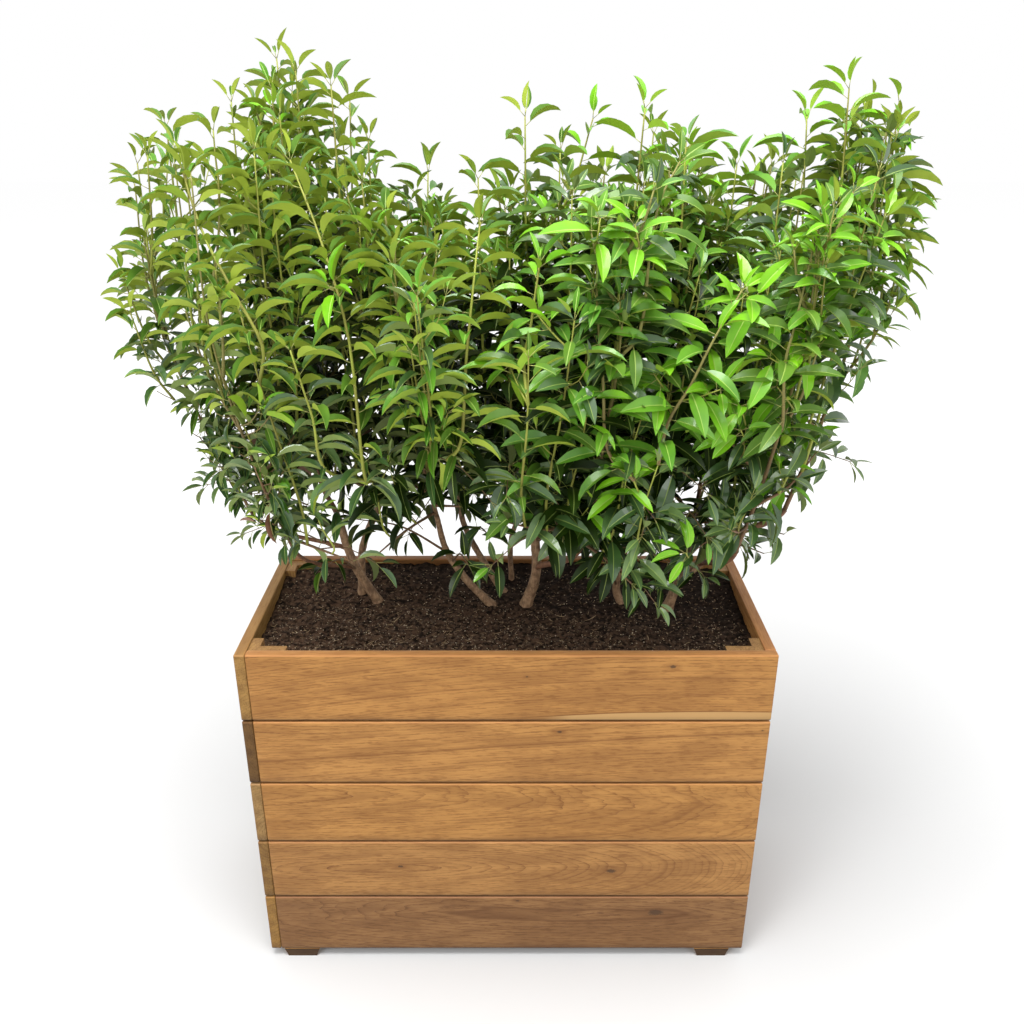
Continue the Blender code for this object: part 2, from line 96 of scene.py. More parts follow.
# %% [markdown]
# ## Nodes with less typing
#
# A shader is a tree of nodes. Short helpers keep the recipes readable: one adds a node and feeds
# its sockets, some do sums, one mixes two colours, one carries a value from one range to another
# and one makes soft noise. Others open a node group with named sockets, for an effect that
# several finishes share, and place it in a material.


# %% Helpers for nodes
def node(tree, kind, feed, **settings):
    """Add a node, set it up, and feed each named or numbered input from a value or a socket."""
    made = tree.nodes.new(kind)
    for key, value in settings.items():
        setattr(made, key, value)
    for key, value in feed.items():
        if isinstance(value, bpy.types.NodeSocket):
            tree.links.new(value, made.inputs[key])
        else:
            made.inputs[key].default_value = value
    return made


def maths(tree, operation, *values):
    return node(tree, "ShaderNodeMath", dict(enumerate(values)), operation=operation).outputs[0]


def plus(tree, *values):
    return functools.reduce(lambda total, value: maths(tree, "ADD", total, value), values)


def times(tree, *values):
    return functools.reduce(lambda product, value: maths(tree, "MULTIPLY", product, value), values)


def minus(tree, first, second):
    return maths(tree, "SUBTRACT", first, second)


def distance(tree, one, other):
    return maths(tree, "SQRT", plus(tree, times(tree, one, one), times(tree, other, other)))


def split(tree, vector):
    return node(tree, "ShaderNodeSeparateXYZ", {0: vector}).outputs


def own(tree, kind="Object"):
    """Where a point lies in its object's own space, or which way the surface faces there."""
    return tree.nodes.new("ShaderNodeTexCoord").outputs[kind]


def mixed(tree, factor, first, second):
    return node(tree, "ShaderNodeMix", {0: factor, 6: first, 7: second}, data_type="RGBA").outputs[2]


def ramped(tree, value, low, high, to_low=0.0, to_high=1.0):
    feed = {"Value": value, "From Min": low, "From Max": high, "To Min": to_low, "To Max": to_high}
    return node(tree, "ShaderNodeMapRange", feed, interpolation_type="SMOOTHSTEP").outputs[0]


def speckle(tree, place, scale, detail=2.0, stretch=(1.0, 1.0, 1.0)):
    """Soft noise around 0.5, stretched along an axis where its stretch is small."""
    moved = node(tree, "ShaderNodeMapping", {"Vector": place, "Scale": stretch}).outputs[0]
    feed = {"Vector": moved, "Scale": scale, "Detail": detail}
    return node(tree, "ShaderNodeTexNoise", feed).outputs["Fac"]


def open_group(name, inputs, outputs):
    """Start a node group. Inputs are name: default, outputs are name: socket type."""
    group = bpy.data.node_groups.new(name, "ShaderNodeTree")
    kinds = {float: "NodeSocketFloat", tuple: "NodeSocketColor"}
    for key, default in inputs.items():
        kind = "NodeSocketVector" if default is None else kinds[type(default)]
        made = group.interface.new_socket(key, in_out="INPUT", socket_type=kind)
        if default is not None:
            made.default_value = default
    for key, kind in outputs.items():
        group.interface.new_socket(key, in_out="OUTPUT", socket_type=kind)
    entry = group.nodes.new("NodeGroupInput").outputs
    leave = group.nodes.new("NodeGroupOutput").inputs
    return group, entry, leave


def close_group(group, leave, made):
    """Send the finished values out of a group by name."""
    for key, value in made.items():
        group.links.new(value, leave[key])
    return group


def fed_group(tree, group, feed):
    """Place a group in a material and feed its named inputs."""
    return node(tree, "ShaderNodeGroup", feed, node_tree=group).outputs


def rgba(colour):
    return (*colour, 1.0)


def scaled(colour, share):
    """A colour times one share, or times a share for each channel."""
    shares = share if isinstance(share, tuple) else (share,) * 3
    return tuple(channel * part for channel, part in zip(colour, shares))


def new_material(name):
    material = bpy.data.materials.new(name)
    material.use_nodes = True
    return material, material.node_tree, material.node_tree.nodes["Principled BSDF"]


def finish(tree, shader, colour, roughness, height=None, depth=0.001):
    """Plug a colour, a roughness and a relief into a material's shader."""
    tree.links.new(colour, shader.inputs["Base Color"])
    if isinstance(roughness, bpy.types.NodeSocket):
        tree.links.new(roughness, shader.inputs["Roughness"])
    else:
        shader.inputs["Roughness"].default_value = roughness
    if height is not None:
        bump = node(tree, "ShaderNodeBump", {"Height": height, "Distance": depth, "Strength": 1.0})
        tree.links.new(bump.outputs["Normal"], shader.inputs["Normal"])


# %% [markdown]
# ## Floor and studio light
#
# The plant stands in a bright white studio. A white world gives light from all round, and three
# broad lamps above add direction, so that the upper faces of leaves catch more light than the
# rest. The pale floor takes the soft shadow. It is a little darker under the lamps, which keeps
# it from glaring, and whiter far off, where it meets the white world without an edge.

# %% Floor, lamps and world
FLOOR_REACH = 40.0
FLOOR_NEAR = (0.58, 0.58, 0.58)
FLOOR_FAR = (0.99, 0.99, 0.99)
FLOOR_PALES = (0.8, 4.5)
WORLD_STRENGTH = 1.0
LAMPS = {
    "lamp_above": ((-0.3, -0.8, 4.2), 2.2, 190.0),
    "lamp_front_left": ((-2.6, -3.4, 3.4), 1.8, 70.0),
    "lamp_front_right": ((2.8, -3.0, 2.6), 1.8, 30.0),
}
LAMPS_AIM = Vector((0.0, 0.0, 0.9))

floor_mesh = bpy.data.meshes.new("studio floor")
half = FLOOR_REACH / 2
floor_corners = [(-half, -half, 0), (half, -half, 0), (half, half, 0), (-half, half, 0)]
floor_mesh.from_pydata(floor_corners, [], [(0, 1, 2, 3)])
studio_floor = new_object("studio_floor", floor_mesh)
studio_floor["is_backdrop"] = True

material, tree, shader = new_material("pale studio floor")
away = node(tree, "ShaderNodeVectorMath", {0: own(tree)}, operation="LENGTH").outputs["Value"]
floor_colour = mixed(tree, ramped(tree, away, *FLOOR_PALES), rgba(FLOOR_NEAR), rgba(FLOOR_FAR))
finish(tree, shader, floor_colour, 0.95)
shader.inputs["Specular IOR Level"].default_value = 0.0
floor_mesh.materials.append(material)

for name, (where, size, power) in LAMPS.items():
    lamp = bpy.data.lights.new(name, "AREA")
    lamp.shape = "DISK"
    lamp.size = size
    lamp.energy = power
    lamp_object = new_object(name, lamp)
    lamp_object.location = where
    lamp_object.rotation_euler = (LAMPS_AIM - Vector(where)).to_track_quat("-Z", "Y").to_euler()

world = bpy.data.worlds.new("white studio")
world.use_nodes = True
background = world.node_tree.nodes["Background"].inputs
background["Color"].default_value = (1.0, 1.0, 1.0, 1.0)
background["Strength"].default_value = WORLD_STRENGTH
bpy.context.scene.world = world
bpy.context.scene.view_settings.view_transform = "Standard"

# %% [markdown]
# ## One way to add a piece
#
# Each finished mesh becomes an object that rides on the model's one body, takes its finishes, and
# may stand in for plain solids.


# %% Adding pieces
def add_piece(name, mesh, materials, slot, replaced=(), matrix=None):
    piece = new_object(name, mesh)
    if matrix is not None:
        piece.matrix_world = matrix
    for material in materials:
        mesh.materials.append(material)
    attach(piece, "root")
    if replaced:
        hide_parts(*replaced)
    return piece


def mesh_from(name, points, faces, smooth=True, sharp_over=None):
    mesh = bpy.data.meshes.new(name)
    mesh.from_pydata(points, [], faces)
    if smooth:
        mesh.shade_smooth()
    if sharp_over is not None:
        mesh.set_sharp_from_angle(angle=sharp_over)
    return mesh


# %% [markdown]
# ## Sawn grain
#
# A tree lays down a ring each year round its pith. Sawing a board cuts across those rings, and
# the angle of the cut makes the pattern: straight lines far from the pith, tall arches near it,
# and closed eyes where the log was bent. So the group below doesn't paint a pattern. It measures
# how far each point of the board lies from the pith and turns that into rings. The pith is given
# by its place across and behind the board, how it slants and bows behind it, and how it sweeps
# up or down across it, all from one spot.
#
# The same sum on the end of a board gives the arcs of end grain, with nothing added.


# %% The sawn grain group
def make_grain():
    inputs = {
        "Place": None,
        "Pith Across": 0.0,
        "Pith Behind": 0.06,
        "Slant": 0.0,
        "Bow": 0.0,
        "Sweep": 0.0,
        "Eye": 0.0,
        "Ring Width": 0.003,
        "Wobble": 0.010,
    }
    outputs = dict.fromkeys(("Rings", "Bands", "Fibres", "Tone", "Radius"), "NodeSocketFloat")
    group, entry, leave = open_group("sawn grain", inputs, outputs)
    place = entry["Place"]
    along, across, out = split(group, place)
    slow = minus(group, speckle(group, place, 1.0, 3.0, (2.2, 16.0, 16.0)), 0.5)
    quick = minus(group, speckle(group, place, 1.0, 4.0, (9.0, 70.0, 70.0)), 0.5)
    from_eye = minus(group, along, entry["Eye"])
    bowed = times(group, from_eye, from_eye, entry["Bow"])
    slanted = times(group, from_eye, entry["Slant"])
    behind = plus(group, plus(group, entry["Pith Behind"], out), plus(group, bowed, slanted))
    swept = times(group, from_eye, from_eye, entry["Sweep"])
    aside = minus(group, minus(group, across, entry["Pith Across"]), swept)
    aside = maths(group, "MULTIPLY_ADD", slow, entry["Wobble"], aside)
    radius = distance(group, aside, behind)
    radius = maths(group, "MULTIPLY_ADD", slow, times(group, entry["Wobble"], 0.6), radius)
    radius = maths(group, "MULTIPLY_ADD", quick, times(group, entry["Wobble"], 0.16), radius)
    count = maths(group, "DIVIDE", radius, entry["Ring Width"])
    year = {"W": maths(group, "FLOOR", count)}
    strength = node(group, "ShaderNodeTexWhiteNoise", year, noise_dimensions="1D").outputs[0]
    edge = maths(group, "POWER", maths(group, "FRACT", count), 5.0)
    dashes = speckle(group, place, 1.0, 3.0, (100.0, 620.0, 620.0))
    rings = times(group, edge, maths(group, "MULTIPLY_ADD", strength, 1.2, 0.1))
    feed = {"W": times(group, count, 0.31), "Scale": 1.0, "Detail": 2.0}
    made = {
        "Rings": times(group, rings, ramped(group, dashes, 0.42, 0.58, 0.35, 1.0)),
        "Bands": node(group, "ShaderNodeTexNoise", feed, noise_dimensions="1D").outputs["Fac"],
        "Fibres": speckle(group, place, 1.0, 5.0, (42.0, 360.0, 360.0)),
        "Tone": speckle(group, place, 1.0, 5.0, (9.0, 42.0, 42.0)),
        "Radius": radius,
    }
    return close_group(group, leave, made)


grain = make_grain()

# %% [markdown]
# ## Knots, worn edges, painted highlights and painted shade
#
# A knot is the foot of a branch: a small dark spot with a darker ring. It is drawn where a board
# has one, as an ellipse along the grain. The eased upper edges of the boards are paler, partly
# from wear and partly as a painted highlight, and faces that look up get a paler painted
# highlight too. Faces that look down, in the gaps under the boards, are darkened with painted
# shade. On a board that lies along its own axes, an eased edge is where the surface turns from one
# axis to another.


# %% The knot group, and the group for worn edges, painted highlights and painted shade
def make_knot():
    inputs = {"Place": None, "Along": 0.0, "Across": 0.0, "Size": 0.004}
    outputs = {"Spot": "NodeSocketFloat", "Halo": "NodeSocketFloat"}
    group, entry, leave = open_group("knot", inputs, outputs)
    along, across, _out = split(group, entry["Place"])
    rough = minus(group, speckle(group, entry["Place"], 260.0, 2.0), 0.5)
    far = maths(group, "DIVIDE", minus(group, along, entry["Along"]), 1.9)
    away = distance(group, far, minus(group, across, entry["Across"]))
    away = maths(group, "MULTIPLY_ADD", rough, 0.9, maths(group, "DIVIDE", away, entry["Size"]))
    made = {"Spot": ramped(group, away, 1.1, 0.5), "Halo": ramped(group, away, 3.6, 0.9)}
    return close_group(group, leave, made)


def make_worn_and_highlit_edge():
    outputs = {"Wear And Highlight": "NodeSocketFloat", "Underside Shade": "NodeSocketFloat"}
    group, entry, leave = open_group("worn and highlit edge", {"Upward": 0.0}, outputs)
    parts = [maths(group, "ABSOLUTE", part) for part in split(group, own(group, "Normal"))]
    pairs = [times(group, parts[a], parts[b]) for a, b in ((0, 1), (0, 2), (1, 2))]
    eased = ramped(group, plus(group, *pairs), 0.10, 0.40)
    # Eased edges that look up are paler: partly wear, partly a painted highlight.
    worn_and_highlit = times(group, eased, ramped(group, entry["Upward"], 0.08, 0.40))
    # Faces that look up are paler: a painted highlight.
    top = ramped(group, entry["Upward"], 0.80, 0.97, 0.0, 0.55)
    # Faces that look down are darkened: painted shade.
    under = ramped(group, entry["Upward"], -0.04, -0.30)
    return close_group(group, leave, {"Wear And Highlight": maths(group, "MAXIMUM", worn_and_highlit, top), "Underside Shade": under})


knot = make_knot()
worn_and_highlit_edge = make_worn_and_highlit_edge()

# %% [markdown]
# ## Boards
#
# The planter's boards are oiled hardwood, and each was cut from its own place in a log. The front
# ones follow what shows: the top three are golden brown, the fourth has a long eye with a knot
# beside it, and the lowest is greyer. The ends at the left have colours of their own. The other
# boards draw their colours, and all but the front ones their place in the log, from a seeded
# source, so they differ as much as real ones do. Fine dark pores run along every board and break
# the lines of its rings. One board has a strip of pale sapwood.

# %% Values for the wood
Board = collections.namedtuple(
    "Board", "colour ring bands across behind slant bow sweep eye width wobble knots sapwood"
)
FRONT_BOARDS = {
    5: Board(
        (0.318, 0.154, 0.043), 1.00, 0.45, 0.150, 0.030, 0.02, 0.02, -0.11, 0.36, 0.0054, 0.018,
        ((0.297, 0.048, 0.0036), (0.028, 0.026, 0.0016)), 0.2048,
    ),
    4: Board(
        (0.328, 0.161, 0.046), 0.95, 0.65, 0.190, 0.040, 0.05, -0.06, -0.07, 0.60, 0.0060, 0.030,
        ((0.091, 0.049, 0.0032), (0.476, 0.052, 0.0014), (0.494, 0.050, 0.0018)), 0.0,
    ),
    3: Board(
        (0.317, 0.155, 0.043), 0.95, 0.45, 0.045, 0.024, 0.07, 0.10, -0.06, -0.30, 0.0050, 0.044, (), 0.0,
    ),
    2: Board(
        (0.294, 0.147, 0.046), 1.05, 0.40, 0.004, 0.016, 0.02, 0.22, 0.0, -0.22, 0.0040, 0.010,
        ((0.203, -0.004, 0.0062), (-0.226, 0.008, 0.0034)), 0.0,
    ),
    1: Board(
        (0.200, 0.101, 0.038), 1.00, 1.00, 0.026, 0.020, 0.05, 0.16, 0.03, 0.27, 0.0066, 0.060,
        ((0.300, 0.030, 0.0095), (0.012, 0.062, 0.0024)), 0.0,
    ),
}
LEFT_END_COLOURS = {
    5: (0.248, 0.140, 0.040),
    4: (0.102, 0.052, 0.014),
    3: (0.240, 0.145, 0.052),
    2: (0.183, 0.100, 0.028),
    1: (0.234, 0.128, 0.033),
}
GOLDEN = (0.305, 0.144, 0.037)
WOOD_SEED = 7
BOARD_RANGES = {
    "ring": (0.70, 0.95),
    "bands": (0.35, 0.75),
    "across": (-0.15, 0.15),
    "behind": (0.015, 0.050),
    "slant": (-0.05, 0.05),
    "bow": (-0.05, 0.20),
    "sweep": (-0.08, 0.08),
    "eye": (-0.3, 0.3),
    "width": (0.0050, 0.0078),
    "wobble": (0.012, 0.028),
}
LIGHTER = 1.16
DARKER = (0.86, 0.82, 0.80)
LINE_DARKER = (0.46, 0.36, 0.31)
# Paler colour for worn eased edges and for painted highlights on faces that look up.
WORN_AND_HIGHLIT_PALER = (1.95, 1.80, 2.30)
SAPWOOD_COLOUR = (0.400, 0.235, 0.090)
SAPWOOD_FROM = (0.04, 0.12)
KNOT_COLOUR = (0.060, 0.032, 0.016)
# Nearly black painted shade for faces that look down.
UNDERSIDE_SHADE_COLOUR = (0.024, 0.012, 0.007)


def drawn_board(draw, colour=None):
    """A board from a seeded place in the log, near the golden brown unless a colour is given."""
    if colour is None:
        red, green, blue = scaled(GOLDEN, draw.uniform(0.62, 1.08))
        colour = (red, green * draw.uniform(0.95, 1.05), blue * draw.uniform(0.95, 1.25))
    knots = tuple(
        (draw.uniform(-0.15, 0.15), draw.uniform(-0.05, 0.05), 0.003)
        for _ in range(draw.choice((0, 0, 1)))
    )
    drawn = {key: draw.uniform(*limits) for key, limits in BOARD_RANGES.items()}
    return Board(colour, knots=knots, sapwood=0.0, **drawn)


def wood_material(name, board, axes=("X", "Y", "Z"), shift=(0.0, 0.0, 0.0)):
    """Oiled wood. Axes say which of the object's axes run along, across and out of the board."""
    material, tree, shader = new_material(name)
    parts = split(tree, own(tree))
    moved = [minus(tree, parts[axis], shift["XYZ".index(axis)]) for axis in axes]
    place = node(tree, "ShaderNodeCombineXYZ", dict(enumerate(moved))).outputs[0]
    feed = {
        "Place": place,
        "Pith Across": board.across,
        "Pith Behind": board.behind,
        "Slant": board.slant,
        "Bow": board.bow,
        "Sweep": board.sweep,
        "Eye": board.eye,
        "Ring Width": board.width,
        "Wobble": board.wobble,
    }
    cut = fed_group(tree, grain, feed)
    light, dark, line, worn_and_highlit = (
        rgba(scaled(board.colour, share)) for share in (LIGHTER, DARKER, LINE_DARKER, WORN_AND_HIGHLIT_PALER)
    )
    colour = mixed(tree, ramped(tree, cut["Tone"], 0.36, 0.64), light, dark)
    colour = mixed(tree, times(tree, ramped(tree, cut["Bands"], 0.52, 0.78), board.bands), colour, line)
    colour = mixed(tree, times(tree, cut["Rings"], board.ring), colour, line)
    colour = mixed(tree, ramped(tree, cut["Fibres"], 0.50, 0.64, 0.0, 0.46), colour, line)
    if board.sapwood:
        reach = ramped(tree, split(tree, place)[0], *SAPWOOD_FROM)
        pale = times(tree, ramped(tree, cut["Radius"], board.sapwood, board.sapwood + 0.0008), reach)
        brink = times(tree, ramped(tree, cut["Radius"], board.sapwood - 0.0030, board.sapwood), reach)
        colour = mixed(tree, times(tree, brink, 0.7), colour, line)
        colour = mixed(tree, pale, colour, rgba(SAPWOOD_COLOUR))
    for along, across, size in board.knots:
        marks = fed_group(tree, knot, {"Place": place, "Along": along, "Across": across, "Size": size})
        colour = mixed(tree, times(tree, marks["Halo"], 0.40), colour, line)
        colour = mixed(tree, times(tree, marks["Spot"], 0.85), colour, rgba(KNOT_COLOUR))
    # Painted light: eased upper edges and upward faces are made paler, partly wear and partly a painted
    # highlight, and faces that look down are darkened with painted shade.
    upward = split(tree, own(tree, "Normal"))[axes[1]]
    edges = fed_group(tree, worn_and_highlit_edge, {"Upward": upward})
    colour = mixed(tree, times(tree, edges["Wear And Highlight"], 0.48), colour, worn_and_highlit)
    colour = mixed(tree, times(tree, edges["Underside Shade"], 0.92), colour, rgba(UNDERSIDE_SHADE_COLOUR))
    roughness = ramped(tree, cut["Fibres"], 0.3, 0.8, 0.44, 0.62)
    relief = maths(tree, "MULTIPLY_ADD", cut["Rings"], -0.5, times(tree, cut["Fibres"], -0.6))
    finish(tree, shader, colour, roughness, relief, 0.0004)
    shader.inputs["Specular IOR Level"].default_value = 0.2
    return material


# %% [markdown]
# A board's mesh is a block with rounded edges, cut into a grid so that it can cup by a fraction
# of a millimetre and wave a little, as boards do when they dry. Each is built along its own axes,
# long side first, and then turned into place on the plain model's box for it, which keeps the
# grain's sums the same for all four sides. The planks of the upper four courses end a little short
# of their boxes below, which leaves the dark line that shows between two of them.

# %% Board meshes
EDGE_ROUND = 0.0030
SHARP_OVER = math.radians(40)
COURSES = range(1, 6)
PLANK_GAP = 0.0020
GRID_STEP = 0.022
CUP = 0.0004
WAVE = 0.00035
SIDES = {
    "front": (Vector((1, 0, 0)), Vector((0, -1, 0))),
    "right": (Vector((0, 1, 0)), Vector((1, 0, 0))),
    "back": (Vector((-1, 0, 0)), Vector((0, 1, 0))),
    "left": (Vector((0, -1, 0)), Vector((-1, 0, 0))),
}
UP = Vector((0, 0, 1))


def board_mesh(name, length, height, thickness, seed):
    shape = bmesh.new()
    bmesh.ops.create_cube(shape, size=1.0)
    bmesh.ops.scale(shape, vec=(length, height, thickness), verts=shape.verts)
    bmesh.ops.bevel(shape, geom=shape.edges[:], offset=EDGE_ROUND, segments=3, profile=0.5, affect="EDGES")
    for axis, size in ((0, length), (1, height)):
        lengthwise = []
        for edge in shape.edges:
            one, other = edge.verts
            if abs((one.co - other.co)[axis]) > size / 2:
                lengthwise.append(edge)
        cuts = round(size / GRID_STEP)
        bmesh.ops.subdivide_edges(shape, edges=lengthwise, cuts=cuts, use_grid_fill=True)
    for corner in shape.verts:
        x, y, z = corner.co
        face = 1 if z > 0 else -1
        inner = max(0.0, 1 - (2 * y / height) ** 2) * max(0.0, 1 - (2 * x / length) ** 8)
        wave = noise.noise(Vector((x * 9, y * 14, seed + face)))
        corner.co.z += inner * (WAVE * wave - CUP)
    mesh = bpy.data.meshes.new(name)
    bmesh.ops.recalc_face_normals(shape, faces=shape.faces)
    shape.to_mesh(mesh)
    shape.free()
    mesh.shade_smooth()
    mesh.set_sharp_from_angle(angle=SHARP_OVER)
    return mesh


draw = random.Random(WOOD_SEED)
for side, (along, out) in SIDES.items():
    for course in COURSES:
        low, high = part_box(f"board_{side}_{course}")
        size = high - low
        length = abs(size.dot(along))
        gap = PLANK_GAP if course > 1 else 0.0
        height = size.z - gap
        thickness = abs(size.dot(out))
        if side == "front":
            board = FRONT_BOARDS[course]
        else:
            board = drawn_board(draw, LEFT_END_COLOURS[course] if side == "left" else None)
        turn = Matrix((along, UP, out)).transposed().to_4x4()
        add_piece(
            f"plank_{side}_{course}",
            board_mesh(f"plank {side} {course}", length, height, thickness, 10 * course + len(side)),
            [wood_material(f"oiled wood {side} {course}", board)],
            "board",
            [f"board_{side}_{course}"],
            Matrix.Translation((low + high + gap * UP) / 2) @ turn,
        )
print(len(SIDES) * len(COURSES), "boards dressed")

# %% [markdown]
# ## Posts, feet and floor
#
# The corner posts, feet and floor are the right shape already. They only need softer edges,
# which a bevel adds without touching their meshes, and wood with the grain running the right
# way: up the posts and along the planter for the rest.

# %% Posts, feet and floor
POST_EASE = 0.0012
FOOT_EASE = 0.0070
SAWN_WOOD = {
    "corner_post": ((0.300, 0.165, 0.055), ("Z", "X", "Y"), POST_EASE),
    # The feet are paler than the boards: painted light that lifts them out of the shade under the planter.
    "foot": ((0.385, 0.205, 0.068), ("X", "Y", "Z"), FOOT_EASE),
    "floor": ((0.220, 0.120, 0.050), ("X", "Y", "Z"), POST_EASE),
}


def ease_edges(thing, width):
    ease = thing.modifiers.new("eased edges", "BEVEL")
    ease.width = width
    ease.segments = 3
    ease.limit_method = "ANGLE"
    ease.angle_limit = SHARP_OVER


for name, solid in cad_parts.items():
    kind = next((word for word in SAWN_WOOD if name.startswith(word)), None)
    if kind is None:
        continue
    colour, axes, ease_width = SAWN_WOOD[kind]
    low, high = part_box(name)
    sawn = wood_material(f"sawn wood {name}", drawn_board(draw, colour), axes, (low + high) / 2)
    solid.data.materials.clear()
    solid.data.materials.append(sawn)
    ease_edges(solid, ease_width)
print("posts, feet and floor finished")

# %% [markdown]
# ## Mottling
#
# Leaves, bark and soil are never one even colour. This group takes two colours and mixes them by
# soft noise at a given scale. It also puts out the noise itself, for roughness.


# %% The mottling group
def make_mottling():
    inputs = {"First": (0.5, 0.5, 0.5, 1.0), "Second": (0.3, 0.3, 0.3, 1.0), "Scale": 30.0, "Contrast": 0.2}
    outputs = {"Colour": "NodeSocketColor", "Noise": "NodeSocketFloat"}
    group, entry, leave = open_group("mottling", inputs, outputs)
    feed = {"Vector": own(group), "Scale": entry["Scale"], "Detail": 3.0}
    cloud = node(group, "ShaderNodeTexNoise", feed).outputs["Fac"]
    low = minus(group, 0.5, entry["Contrast"])
    high = plus(group, 0.5, entry["Contrast"])
    share = ramped(group, cloud, low, high)
    colour = mixed(group, share, entry["First"], entry["Second"])
    return close_group(group, leave, {"Colour": colour, "Noise": share})


mottling = make_mottling()


def mottled(tree, first, second, scale, contrast=0.18):
    feed = {"First": rgba(first), "Second": rgba(second), "Scale": scale, "Contrast": contrast}
    return fed_group(tree, mottling, feed)


def mottled_material(
    name, first, second, scale, roughness, relief=0.0, fine=600.0, coat=0.0, shine=0.3, octaves=3.0
):
    """A surface in two mottled colours, with its own range of roughness and a fine relief."""
    material, tree, shader = new_material(name)
    tones = mottled(tree, first, second, scale)
    rough = ramped(tree, tones["Noise"], 0.0, 1.0, *roughness)
    height = speckle(tree, own(tree), fine, octaves) if relief else None
    finish(tree, shader, tones["Colour"], rough, height, relief)
    shader.inputs["Coat Weight"].default_value = coat
    shader.inputs["Specular IOR Level"].default_value = shine
    return material


# %% [markdown]
# ## Soil
#
# Potting soil is dark, crumbly and full of pale fibres. Its block gets a new lumpy top, and loose
# crumbs, pale grit and slivers of straw are strewn over that, most of them at the front and left.
# They are thousands of tiny shapes, so each kind is collected into one mesh.


# %% Collecting many small shapes
class Bundle:
    """Points and faces of many small shapes that become one mesh."""

    def __init__(self):
        self.points = []
        self.faces = []

    def add(self, points, faces):
        offset = len(self.points)
        self.points += points
        self.faces += [[offset + corner for corner in face] for face in faces]

    def mesh(self, name, **shading):
        return mesh_from(name, self.points, self.faces, **shading)


# %% [markdown]
# The new top is a fine grid, lifted into lumps, and heaped up round the stems' feet and towards
# the back. It is painted paler at the front and left, where light falls on it, and darker with
# painted shade towards the right and back, under the leaves.

# %% Soil surface
STEM_FEET = (
    (-0.268, 0.050), (-0.305, 0.078), (-0.030, 0.034), (-0.004, 0.086),
    (0.010, 0.132), (0.040, 0.036), (0.239, 0.036), (0.330, 0.020),
)
SOIL_STEP = 0.0045
LUMPS = ((11.0, 0.0055), (42.0, 0.0046), (120.0, 0.0036))
SOIL_SINKS = 0.0030
COLLAR_HEIGHT = 0.003
COLLAR_REACH = 0.030
HEAPED_BEHIND = 0.024
SOIL_SEED = 3

soil_low, soil_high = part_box("soil")


def soil_height(x, y):
    lumps = sum(size * noise.noise(Vector((x * pitch, y * pitch, pitch))) for pitch, size in LUMPS)
    collar = sum(math.exp(-((x - a) ** 2 + (y - b) ** 2) / COLLAR_REACH**2) for a, b in STEM_FEET)
    heap = HEAPED_BEHIND * max(0.0, y / soil_high.y) ** 1.5
    return soil_high.z - SOIL_SINKS + lumps + COLLAR_HEIGHT * min(1.0, collar) + heap


def soil_mesh():
    columns = round((soil_high.x - soil_low.x) / SOIL_STEP)
    rows = round((soil_high.y - soil_low.y) / SOIL_STEP)
    points = []
    for row in range(rows + 1):
        y = soil_low.y + (soil_high.y - soil_low.y) * row / rows
        for column in range(columns + 1):
            x = soil_low.x + (soil_high.x - soil_low.x) * column / columns
            points.append((x, y, soil_height(x, y)))
    wide = columns + 1
    faces = [
        (corner, corner + 1, corner + wide + 1, corner + wide)
        for row in range(rows)
        for corner in range(row * wide, row * wide + columns)
    ]
    rim = list(range(columns))
    rim += [row * wide + columns for row in range(rows)]
    rim += [rows * wide + column for column in range(columns, 0, -1)]
    rim += [row * wide for row in range(rows, 0, -1)]
    first = len(points)
    points += [(points[corner][0], points[corner][1], soil_low.z) for corner in rim]
    count = len(rim)
    for step, corner in enumerate(rim):
        following = (step + 1) % count
        faces.append((corner, first + step, first + following, rim[following]))
    faces.append(tuple(first + step for step in range(count))[::-1])
    return mesh_from("soil surface", points, faces)


SOIL_DRY = (0.098, 0.056, 0.034)
SOIL_DAMP = (0.007, 0.004, 0.0024)
SOIL_SHADED = (0.009, 0.0055, 0.004)
# Painted light and shade on the soil: the way it turns paler, and over what range.
LIT_TOWARDS = (-0.35, -1.0)
LIT_BETWEEN = (-0.06, 0.22)


def soil_material():
    """Potting soil, painted paler at the front and left and darker with painted shade under the leaves."""
    material, tree, shader = new_material("potting soil with painted shade")
    place = own(tree)
    tones = mottled(tree, SOIL_DRY, SOIL_DAMP, 110.0)
    spot = split(tree, place)
    patch = times(tree, speckle(tree, place, 14.0), 0.25)
    leftward = times(tree, spot["X"], LIT_TOWARDS[0])
    forward = times(tree, spot["Y"], LIT_TOWARDS[1])
    way = plus(tree, leftward, patch, forward)
    # Painted light and shade: paler towards the front and left, darker towards the right and back.
    lit_share = ramped(tree, way, *LIT_BETWEEN, 0.20, 1.0)
    colour = mixed(tree, lit_share, rgba(SOIL_SHADED), tones["Colour"])
    rough = ramped(tree, tones["Noise"], 0.0, 1.0, 0.85, 1.0)
    finish(tree, shader, colour, rough, speckle(tree, place, 900.0, 3.0), 0.0015)
    shader.inputs["Specular IOR Level"].default_value = 0.1
    return material


add_piece("soil_surface", soil_mesh(), [soil_material()], "soil", ["soil"])

# %% [markdown]
# The crumbs and the grit are small lumps with few sides. Fibres and straws are flat slivers that
# bend a little. They all lie on the lumpy surface.

